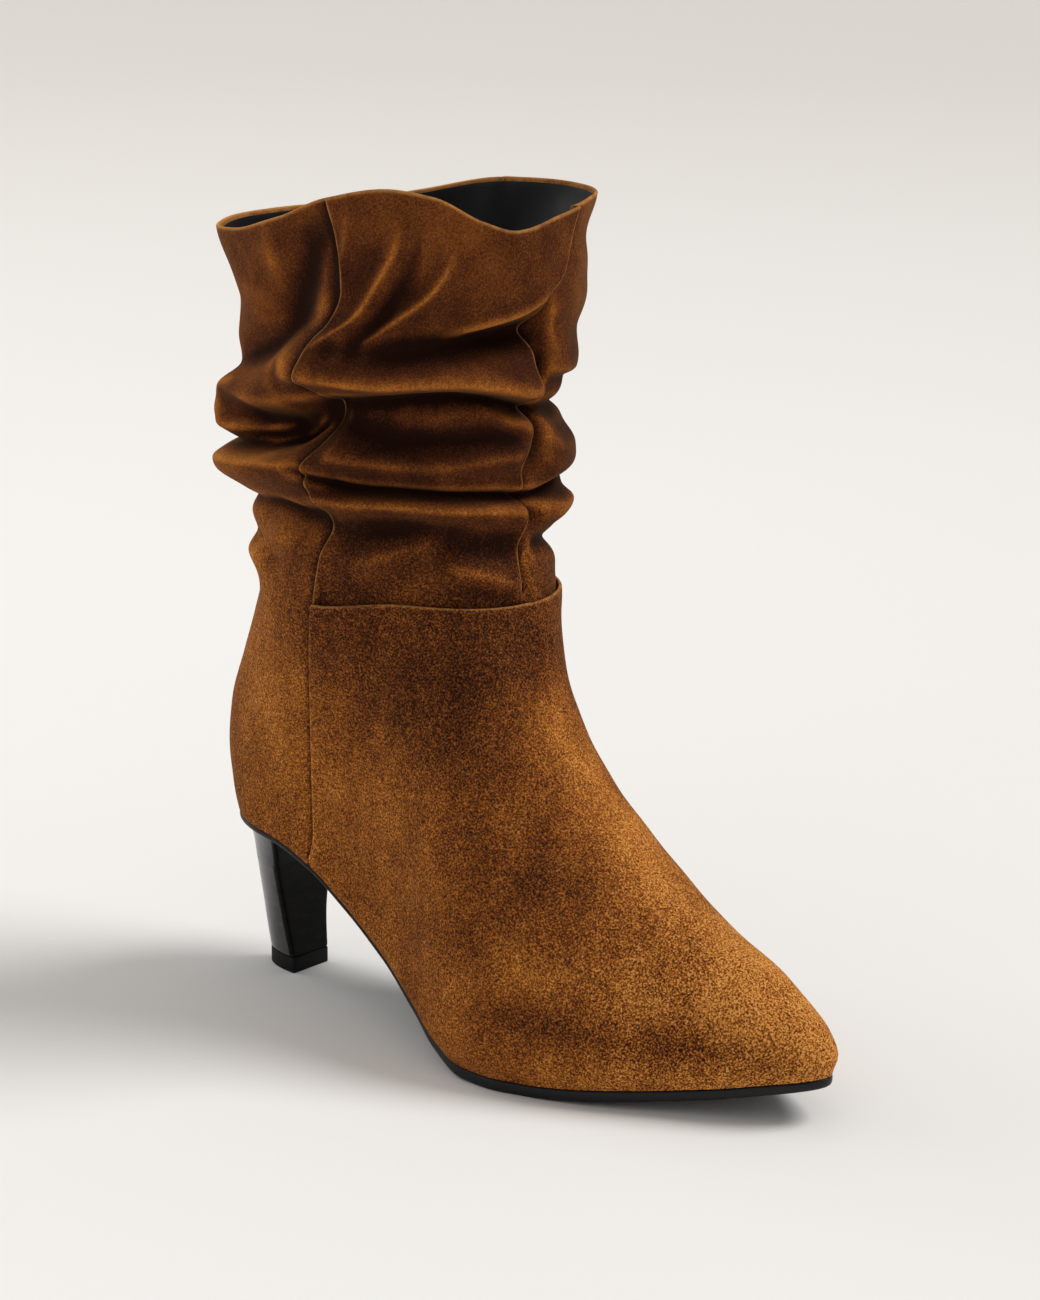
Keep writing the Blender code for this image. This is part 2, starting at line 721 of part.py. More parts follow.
def main():
    for obj in list(bpy.data.objects):
        bpy.data.objects.remove(obj, do_unlink=True)
    suede = new_material("suede", (0.250, 0.092, 0.022), 0.85, 0.0)
    sole = new_material("sole", (0.012, 0.012, 0.013), 0.55, 0.0)
    stack = new_material("heel_gloss", (0.012, 0.011, 0.011), 0.22, 0.0)
    rubber = new_material("tip_rubber", (0.015, 0.015, 0.016), 0.70, 0.0)
    lining = new_material("lining", (0.020, 0.020, 0.024), 0.60, 0.0)
    objects = [
        make_upper(suede),
        make_outsole(sole),
        make_heel(stack),
        make_heel_tip(rubber),
        make_insole(lining),
    ]
    center(objects)


main()
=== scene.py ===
import math

import bmesh
import bpy
import numpy as np
from mathutils import Matrix, Vector


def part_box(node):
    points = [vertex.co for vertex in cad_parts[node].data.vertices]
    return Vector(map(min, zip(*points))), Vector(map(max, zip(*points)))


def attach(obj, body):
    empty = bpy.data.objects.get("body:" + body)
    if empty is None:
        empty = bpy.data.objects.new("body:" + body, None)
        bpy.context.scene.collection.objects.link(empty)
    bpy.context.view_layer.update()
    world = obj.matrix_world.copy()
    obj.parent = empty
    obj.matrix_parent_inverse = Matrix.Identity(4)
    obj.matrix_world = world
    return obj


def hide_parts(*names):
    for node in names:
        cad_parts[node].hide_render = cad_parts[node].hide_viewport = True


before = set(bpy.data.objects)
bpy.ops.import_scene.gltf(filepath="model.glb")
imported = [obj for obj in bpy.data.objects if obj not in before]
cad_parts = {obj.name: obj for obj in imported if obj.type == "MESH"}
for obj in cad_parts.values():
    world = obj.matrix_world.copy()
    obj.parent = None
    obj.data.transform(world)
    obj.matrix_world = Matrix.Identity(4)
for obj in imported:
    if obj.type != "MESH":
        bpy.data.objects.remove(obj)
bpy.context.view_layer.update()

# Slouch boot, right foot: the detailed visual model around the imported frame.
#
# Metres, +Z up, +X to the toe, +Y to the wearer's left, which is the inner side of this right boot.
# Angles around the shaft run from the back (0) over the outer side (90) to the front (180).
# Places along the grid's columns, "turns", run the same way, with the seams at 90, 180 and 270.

MM = 0.001

# The boot's sizes, as in the part's source
LENGTH = 0.2445
BALL_WIDTH = 0.0800
HEEL_LIFT = 0.0535
TOE_SPRING = 0.0115
ANKLE_HEIGHT = 0.1430
COLLAR_HEIGHT = 0.2790
SHAFT_LENGTH = 0.1160
SHAFT_WIDTH = 0.0900
VAMP_STEP = 0.0010
SOLE_THICKNESS = 0.0040
GAP = 0.0003
HEEL_TIP_HEIGHT = 0.0055
HEEL_TIP_LENGTH = 0.0172
HEEL_TIP_WIDTH = 0.0168
HEEL_TOP_LENGTH = 0.0258
HEEL_TOP_WIDTH = 0.0410
HEEL_FRONT_STATION = 0.1265
HEEL_SIDE_SHIFT = -0.0005
UPPER_SWELL = 0.0022
TOE_SWELL = 0.0002
SWELL_HEIGHT = 0.0090
SWELL_DROP_AT_TOE = 0.45
TUCK_DEPTH = 0.0290
BLEND = 0.0450
REAR_BLEND_SHARE = 0.25
BLEND_GROWS = (0.25, 0.50)
TOE_ROUND = 0.125
HEEL_ROUND = 0.100
SOLE_BACK = 0.030
FOOT_BACK_START = 0.46
FOOT_BACK_ROUND = 0.36
SEAM_STATION = 0.237
SHAFT_AXIS_STATION = 0.3000

# Least length that a direction is divided by
TINY = 1e-12


def read_table(names, *rows):
    """Columns of a table by name, as arrays."""
    return dict(zip(names.split(), np.array(rows, float).T))


# The sole's edge along the boot: shares of the length, of the ball's width to the outer and to the
# inner side, of the heel's lift, of the toe's spring and of the sole's thickness
EDGE = read_table(
    "station outer inner lift spring sole",
    (0.00, 0.315, 0.335, 1.000, 0.00, 0.50),
    (0.08, 0.315, 0.345, 0.990, 0.00, 0.50),
    (0.16, 0.335, 0.350, 0.950, 0.00, 0.48),
    (0.23, 0.350, 0.345, 0.850, 0.00, 0.45),
    (0.30, 0.352, 0.330, 0.655, 0.00, 0.42),
    (0.37, 0.365, 0.325, 0.435, 0.00, 0.45),
    (0.44, 0.415, 0.350, 0.220, 0.00, 0.60),
    (0.50, 0.485, 0.395, 0.085, 0.00, 0.85),
    (0.56, 0.530, 0.435, 0.010, 0.00, 1.00),
    (0.60, 0.530, 0.460, 0.000, 0.00, 1.00),
    (0.66, 0.488, 0.478, 0.000, 0.00, 1.00),
    (0.72, 0.428, 0.458, 0.000, 0.08, 1.00),
    (0.80, 0.310, 0.395, 0.000, 0.26, 0.95),
    (0.88, 0.180, 0.315, 0.000, 0.50, 0.90),
    (0.94, 0.110, 0.270, 0.000, 0.75, 0.85),
    (1.00, 0.070, 0.240, 0.000, 1.00, 0.80),
)

# The foot's ridge: shares of the length and of the ankle's height, how far its middle lies to the
# inner side as a share of the ball's width, and how pointed its section is
TOP = read_table(
    "station ridge middle peak",
    (0.30, 1.130, -0.010, 2.2),
    (0.40, 1.090, -0.010, 2.2),
    (0.49, 0.925, -0.012, 2.1),
    (0.57, 0.742, -0.012, 1.9),
    (0.65, 0.586, -0.005, 1.8),
    (0.73, 0.464, 0.015, 1.9),
    (0.78, 0.403, 0.035, 2.0),
    (0.82, 0.360, 0.052, 2.1),
    (0.88, 0.306, 0.070, 2.3),
    (0.94, 0.256, 0.085, 2.4),
    (1.00, 0.215, 0.090, 2.4),
)

# The plain shaft: shares of the collar's height, of its length behind and before the axis, and of
# its width to the outer and to the inner side
SHAFT = read_table(
    "height back front outer inner",
    (0.140, 0.545, 0.00, 0.240, 0.260),
    (0.204, 0.570, 0.06, 0.285, 0.305),
    (0.237, 0.606, 0.10, 0.308, 0.328),
    (0.283, 0.620, 0.16, 0.330, 0.347),
    (0.340, 0.600, 0.24, 0.360, 0.372),
    (0.412, 0.530, 0.34, 0.400, 0.405),
    (0.466, 0.470, 0.39, 0.434, 0.434),
    (0.513, 0.440, 0.415, 0.455, 0.452),
    (0.573, 0.450, 0.43, 0.465, 0.462),
    (0.717, 0.480, 0.47, 0.485, 0.485),
    (0.842, 0.505, 0.50, 0.500, 0.500),
    (0.920, 0.535, 0.52, 0.530, 0.530),
    (1.000, 0.575, 0.56, 0.565, 0.565),
)

# The vamp's top and the collar around the shaft, in degrees and shares of the boot's heights
VAMP = read_table(
    "angle height",
    (0, 1.000),
    (60, 1.000),
    (90, 1.003),
    (130, 1.034),
    (176, 1.024),
    (230, 1.024),
    (270, 1.003),
    (300, 1.000),
)
COLLAR = read_table(
    "angle height",
    (0, 0.922),
    (30, 0.922),
    (60, 0.931),
    (84, 0.956),
    (102, 0.984),
    (122, 0.999),
    (135, 0.992),
    (152, 0.964),
    (165, 0.952),
    (185, 0.964),
    (207, 0.975),
    (240, 0.972),
    (270, 0.964),
    (300, 0.940),
    (330, 0.922),
)

# The heel from its foot to its seat: share of its height, how far its front sets back as a share
# of the foot's length, and how far its length and its width have grown to those at the seat
HEEL = read_table(
    "height front long wide",
    (0.00, 0.00, 0.00, 0.00),
    (0.14, 0.06, 0.02, 0.06),
    (0.30, 0.11, 0.04, 0.14),
    (0.48, 0.13, 0.11, 0.27),
    (0.66, 0.10, 0.25, 0.45),
    (0.82, 0.00, 0.48, 0.66),
    (0.93, -0.08, 0.75, 0.85),
    (1.00, -0.16, 1.00, 1.00),
)

# Where the seams run on the shaft: height in millimetres and angle in degrees
SIDE_SEAM = (
    (143, 90), (151, 92.5), (160, 95), (170, 99), (176, 97), (184, 92), (192, 92), (200, 97),
    (206, 98), (212, 95), (218, 91), (224, 92), (230, 95), (236, 101), (247, 106), (254, 106),
    (263, 104), (279, 103),
)
FRONT_SEAM = (
    (143, 177), (160, 174), (170, 176), (181, 176), (190, 174), (200, 178), (210, 177),
    (220, 175.5), (230, 177.5), (238, 177.5), (244, 179), (251, 186), (262, 192), (279, 194),
)

# Coarse grid that carries the boot's plain form: points that draw the sole's edge, columns from the
# back to a side seam and from there to the front seam, rows up the foot and up the shaft, rounds
# that even it out and settle it on the form, and the rows over which it flares out at its foot
EDGE_POINTS = 400
COARSE_REAR = 24
COARSE_FRONT = 38
COARSE_FOOT = 30
COARSE_SHAFT = 36
EVEN_ROUNDS = 4
EVEN_SIDEWAYS = 3
SETTLE_ROUNDS = 12
FLARE_ROWS = 2.6

# Curves from the sole's edge to the vamp's top, before they settle on the form: how far their
# handles stand off, in metres and as shares of the curve's rise and of its step inward
EDGE_LIFT = 0.012
EDGE_RISE = 0.22
RING_RISE = 0.10
RING_PULL = 0.45
RING_LEAN = 0.25

# Fine grid read from the coarse one: steps in each coarse column and foot row, rows up the shaft,
# and extra columns beside each seam and rows under the vamp's top, in coarse steps
FINE_COLUMNS = 3
FINE_FOOT = 3
SHAFT_ROWS = 196
BESIDE_SEAM = (-0.5, -0.2, -0.1, -0.04, 0.04, 0.1, 0.2, 0.5)
UNDER_VAMP_TOP = (0.03, 0.08, 0.15, 0.22)

# Millimetres around the shaft for a degree, and the degrees beside the back's middle line over
# which the noise dies away
ARC_PER_DEGREE = 0.84
BACK_CALM = 22


def slopes(x, y):
    """Slopes for a cubic curve through the points that never overshoots them."""
    step = np.diff(x)
    rise = np.diff(y) / step
    out = np.zeros_like(y)
    for i in range(1, len(x) - 1):
        if rise[i - 1] * rise[i] > 0:
            first = 2 * step[i] + step[i - 1]
            second = step[i] + 2 * step[i - 1]
            out[i] = (first + second) / (first / rise[i - 1] + second / rise[i])
    out[0] = rise[0]
    out[-1] = rise[-1]
    return out


def smooth(x, y, at):
    """Read the smooth curve through (x, y) at the places given."""
    x = np.asarray(x, float)
    y = np.asarray(y, float)
    at = np.clip(np.asarray(at, float), x[0], x[-1])
    tangent = slopes(x, y)
    i = np.clip(np.searchsorted(x, at, side="right") - 1, 0, len(x) - 2)
    h = x[i + 1] - x[i]
    t = (at - x[i]) / h
    start = (1 + 2 * t) * (1 - t) ** 2 * y[i] + t * (1 - t) ** 2 * h * tangent[i]
    end = t * t * (3 - 2 * t) * y[i + 1] + t * t * (t - 1) * h * tangent[i + 1]
    return start + end


def edge(name, station):
    """A value of the sole's edge at a share of the length."""
    return smooth(EDGE["station"], EDGE[name], station)


def top(name, station):
    """A value of the foot's ridge at a share of the length."""
    return smooth(TOP["station"], TOP[name], station)


def shaft(name, share):
    """A value of the plain shaft at a share of the collar's height."""
    return smooth(SHAFT["height"], SHAFT[name], share)


def sole_top(x):
    """Height of the sole's upper face, from the heel seat over the arch to the toe."""
    station = x / LENGTH
    return SOLE_THICKNESS + HEEL_LIFT * edge("lift", station) + TOE_SPRING * edge("spring", station)


def sole_bottom(x):
    """Height of the sole's underside."""
    return sole_top(x) - SOLE_THICKNESS * edge("sole", x / LENGTH)


def end_round(station):
    """1 along the foot, falling to 0 in a round at the heel and at the toe."""
    toe = np.clip((station - (1 - TOE_ROUND)) / TOE_ROUND, 0, 1)
    heel = np.clip((HEEL_ROUND + SOLE_BACK - station) / HEEL_ROUND, 0, 1)
    return np.sqrt(np.maximum(1 - toe ** 2 - heel ** 2, 0))


def edge_line(count, side):
    """Points of the sole's edge on one side, from the back to the toe tip."""
    station = SOLE_BACK + (1 - SOLE_BACK) * (1 - np.cos(np.linspace(0, math.pi, count))) / 2
    outer = -BALL_WIDTH * edge("outer", station)
    inner = BALL_WIDTH * edge("inner", station)
    middle = (outer + inner) / 2
    half = (inner - outer) / 2 * end_round(station)
    return np.stack([LENGTH * station, middle + side * half], 1)


def run_length(line):
    """Length of a line up to each of its points."""
    return np.concatenate([[0], np.cumsum(np.linalg.norm(np.diff(line, axis=0), axis=1))])


def along(line, shares):
    """Points of a line at shares of its length."""
    length = run_length(line)
    wanted = np.asarray(shares) * length[-1]
    return np.stack([np.interp(wanted, length, line[:, k]) for k in range(line.shape[1])], 1)


def share_at_x(line, x):
    """Share of a line's length where it crosses the given x."""
    length = run_length(line)
    return float(np.interp(x, line[:, 0], length) / length[-1])


def unit(vectors):
    """Vectors of length 1 in the same directions."""
    return vectors / np.maximum(np.linalg.norm(vectors, axis=-1, keepdims=True), TINY)


def fade(value, start, end):
    """0 below start, 1 above end, smooth between them."""
    t = np.clip((value - start) / (end - start), 0, 1)
    return t * t * (3 - 2 * t)


def foot_distance(p):
    """How far a point lies outside the foot's form, in metres, roughly."""
    station = np.clip(p[..., 0] / LENGTH, 0, 1)
    middle = BALL_WIDTH * top("middle", station)
    outer = BALL_WIDTH * edge("outer", station) + UPPER_SWELL + middle
    inner = BALL_WIDTH * edge("inner", station) + UPPER_SWELL - middle
    side = p[..., 1] - middle
    half = np.where(side < 0, outer, inner)
    waist = sole_top(p[..., 0]) + SWELL_HEIGHT * (1 - SWELL_DROP_AT_TOE * edge("spring", station))
    ridge = ANKLE_HEIGHT * top("ridge", station)
    above = np.maximum(p[..., 2] - waist, 0) / np.maximum(ridge - waist, MM)
    below = np.maximum(waist - p[..., 2], 0) / TUCK_DEPTH
    share = p[..., 0] / LENGTH
    toe = np.maximum((share - (1 - TOE_ROUND)) / (TOE_ROUND + TOE_SWELL / LENGTH), 0)
    back = np.maximum((FOOT_BACK_START - share) / FOOT_BACK_ROUND, 0)
    ends = toe ** 2 + back ** 2
    round_sum = np.abs(side / half) ** 2 + above ** top("peak", station) + below ** 2 + ends
    return (np.sqrt(round_sum) - 1) * half


def shaft_section(share):
    """Middle, half length and half widths of the plain shaft at a share of its height."""
    back = -SHAFT_LENGTH * shaft("back", share)
    front = SHAFT_LENGTH * shaft("front", share)
    middle = LENGTH * SHAFT_AXIS_STATION + (back + front) / 2
    outer = SHAFT_WIDTH * shaft("outer", share)
    inner = SHAFT_WIDTH * shaft("inner", share)
    return middle, (front - back) / 2, outer, inner


def shaft_distance(p):
    """How far a point lies outside the ankle and shaft's form, in metres, roughly."""
    middle, half_length, outer, inner = shaft_section(p[..., 2] / COLLAR_HEIGHT)
    half = np.where(p[..., 1] < 0, outer, inner)
    ratio = np.sqrt(((p[..., 0] - middle) / half_length) ** 2 + (p[..., 1] / half) ** 2)
    return (ratio - 1) * half


def body_distance(p):
    """Foot and shaft run together softly."""
    a = foot_distance(p)
    b = shaft_distance(p)
    front = fade(p[..., 0] / LENGTH, *BLEND_GROWS)
    blend = BLEND * (REAR_BLEND_SHARE + (1 - REAR_BLEND_SHARE) * front)
    near = np.maximum(blend - np.abs(a - b), 0) / blend
    return np.minimum(a, b) - near ** 3 * blend / 6


def settle(p, level):
    """Move points onto the form. Level points keep their height."""
    probe = 0.4 * MM
    longest = 12 * MM
    flattest = 0.05
    for _ in range(SETTLE_ROUNDS):
        slope = np.zeros_like(p)
        for k in range(2 if level else 3):
            shift = np.zeros(3)
            shift[k] = probe
            slope[..., k] = (body_distance(p + shift) - body_distance(p - shift)) / (2 * probe)
        size = np.maximum((slope ** 2).sum(-1, keepdims=True), flattest)
        move = -body_distance(p)[..., None] * slope / size
        length = np.linalg.norm(move, axis=-1, keepdims=True)
        p = p + move * np.minimum(1, longest / np.maximum(length, TINY))
    return p


def around(table, angle):
    """Height share of a table that runs around the shaft."""
    turns = np.concatenate([table["angle"] + whole for whole in (-360, 0, 360)])
    return smooth(turns, np.tile(table["height"], 3), angle)


def collar_height(angle):
    """Height of the collar's edge."""
    return COLLAR_HEIGHT * around(COLLAR, angle)


def vamp_height(angle):
    """Height of the vamp's top edge, where the foot's rows end and the shaft's begin."""
    return ANKLE_HEIGHT * around(VAMP, angle)


def shaft_points(angle, height):
    """Points of the plain shaft at an angle and a height."""
    middle, half_length, outer, inner = shaft_section(height / COLLAR_HEIGHT)
    turn = np.radians(angle)
    side = np.sin(turn)
    half = np.where(side > 0, outer, inner)
    return np.stack([middle - half_length * np.cos(turn), -half * side, height], -1)


def angle_at(turn, height):
    """Angle around the shaft of a place on the grid, whose columns follow the seams."""
    side = smooth(*zip(*SIDE_SEAM), height / MM)
    front = smooth(*zip(*FRONT_SEAM), height / MM)
    angle = np.clip(turn / 90, 0, 1) * side
    angle = angle + np.clip((turn - 90) / 90, 0, 1) * (front - side)
    angle = angle + np.clip((turn - 180) / 90, 0, 1) * (270 - front)
    return angle + np.clip((turn - 270) / 90, 0, 1) * 90


def coarse_turns():
    """Turn of every coarse column."""
    rear = np.linspace(0, 90, COARSE_REAR + 1)
    front = np.linspace(90, 180, COARSE_FRONT + 1)
    outer = np.concatenate([rear, front[1:]])
    return np.concatenate([outer, 360 - outer[-2:0:-1]])


def coarse_feet():
    """Sole edge points for every coarse column."""
    sides = []
    for side in (-1, 1):
        line = edge_line(EDGE_POINTS, side)
        seam = share_at_x(line, SEAM_STATION * LENGTH)
        rear = np.linspace(0, seam, COARSE_REAR + 1)
        front = np.linspace(seam, 1, COARSE_FRONT + 1)
        sides.append(along(line, np.concatenate([rear, front[1:]])))
    return np.concatenate([sides[0], sides[1][-2:0:-1]])


def coarse_foot():
    """Plain form from the sole's edge to the top of the vamp, rows of points."""
    feet = coarse_feet()
    turn = coarse_turns()
    start = np.column_stack([feet, sole_top(feet[:, 0]) + GAP])
    ring_angle = angle_at(turn, np.full(len(turn), ANKLE_HEIGHT))
    ring = settle(shaft_points(ring_angle, vamp_height(ring_angle)), True)
    rise = (ring[:, 2] - start[:, 2])[:, None]
    pull = np.linalg.norm(ring[:, :2] - start[:, :2], axis=1)[:, None]
    up = np.array([0, 0, 1])
    first = start + up * (EDGE_LIFT + EDGE_RISE * rise)
    second = ring - up * (RING_RISE * rise + RING_PULL * pull)
    second[:, :2] += RING_LEAN * (start[:, :2] - ring[:, :2])
    t = np.linspace(0, 1, COARSE_FOOT + 1)[:, None, None]
    near = (1 - t) ** 3 * start + 3 * t * (1 - t) ** 2 * first
    foot = near + 3 * t * t * (1 - t) * second + t ** 3 * ring
    foot[1:-1] = settle(foot[1:-1], False)

    # Rows and columns are evened out on the form, and the side seams keep their place
    free = np.ones(foot.shape[1], bool)
    free[[COARSE_REAR, COARSE_REAR + 2 * COARSE_FRONT]] = False
    for _ in range(EVEN_ROUNDS):
        for i in range(foot.shape[1]):
            foot[:, i] = along(foot[:, i], np.linspace(0, 1, COARSE_FOOT + 1))
        for _ in range(EVEN_SIDEWAYS):
            middle = (np.roll(foot, 1, axis=1) + np.roll(foot, -1, axis=1)) / 2
            foot[1:-1, free] = (foot[1:-1, free] + middle[1:-1, free]) / 2
            foot[1:-1] = (2 * foot[1:-1] + foot[:-2] + foot[2:]) / 4
        foot[1:-1] = settle(foot[1:-1], False)

    # Where the sole's edge stands outside the form, the lowest rows flare out to meet it
    outside = np.clip(body_distance(foot[0]) / MM, 0, 1)[:, None]
    flare = outside * (foot[0] - settle(foot[0], True))
    row = np.arange(1, COARSE_FOOT + 1)[:, None, None]
    foot[1:] += flare * np.exp(-(row / FLARE_ROWS) ** 2)
    return foot


def coarse_shaft():
    """Plain form from the top of the vamp to the collar, rows of points."""
    turn = coarse_turns()
    low_angle = angle_at(turn, np.full(len(turn), ANKLE_HEIGHT))
    high_angle = angle_at(turn, np.full(len(turn), COLLAR_HEIGHT))
    low = vamp_height(low_angle)
    high = collar_height(high_angle)
    share = np.linspace(0, 1, COARSE_SHAFT + 1)[:, None]
    height = low + (high - low)[None, :] * share
    angle = angle_at(np.broadcast_to(turn, height.shape), height)
    return settle(shaft_points(angle, height), True)


def resample(grid, at, axis, closed=False):
    """Smooth reading of a grid at fractional places along one axis."""
    count = grid.shape[axis]
    first = np.floor(at).astype(int)
    if not closed:
        first = np.clip(first, 0, count - 2)
    shape = [1] * grid.ndim
    shape[axis] = len(at)
    t = (at - first).reshape(shape)

    def tap(k):
        i = (first + k) % count if closed else np.clip(first + k, 0, count - 1)
        return np.take(grid, i, axis=axis)

    a, b, c, d = tap(-1), tap(0), tap(1), tap(2)
    if not closed:
        a = np.where((first == 0).reshape(shape), 2 * b - c, a)
        d = np.where((first == count - 2).reshape(shape), 2 * c - b, d)
    return b + 0.5 * t * (c - a + t * (2 * a - 5 * b + 4 * c - d + t * (3 * (b - c) + d - a)))


def grid_normals(grid):
    """Outward directions of a grid that closes around."""
    across = np.roll(grid, -1, axis=1) - np.roll(grid, 1, axis=1)
    return unit(np.cross(across, np.gradient(grid, axis=0)))


def soften(grid, times):
    """Average each point with its neighbours, keeping the first and last row."""
    for _ in range(times):
        side = (np.roll(grid, 1, axis=1) + np.roll(grid, -1, axis=1)) / 2
        middle = grid.copy()
        middle[1:-1] = (grid[2:] + grid[:-2]) / 2
        grid = (grid + (side + middle) / 2) / 2
    return grid


def soft_normals(grid):
    """Outward directions, evened out with their neighbours."""
    return unit(soften(grid_normals(grid), 4))


def row_numbers(grid):
    """The number of each row, as a column."""
    return np.arange(len(grid), dtype=float)[:, None]


def waves(coords, seed, count, low, high, stretch=(1, 1, 1)):
    """Smooth random field: sines of random direction, with wavelengths between low and high."""
    rng = np.random.default_rng(seed)
    total = 0.0
    for _ in range(count):
        direction = rng.normal(size=len(coords))
        direction /= np.linalg.norm(direction)
        wave = 2 * math.pi / rng.uniform(low, high)
        phase = rng.uniform(0, 2 * math.pi)
        along_wave = sum(wave * a * s * c for a, s, c in zip(direction, stretch, coords))
        total = total + np.sin(along_wave + phase)
    return total / math.sqrt(count / 2)


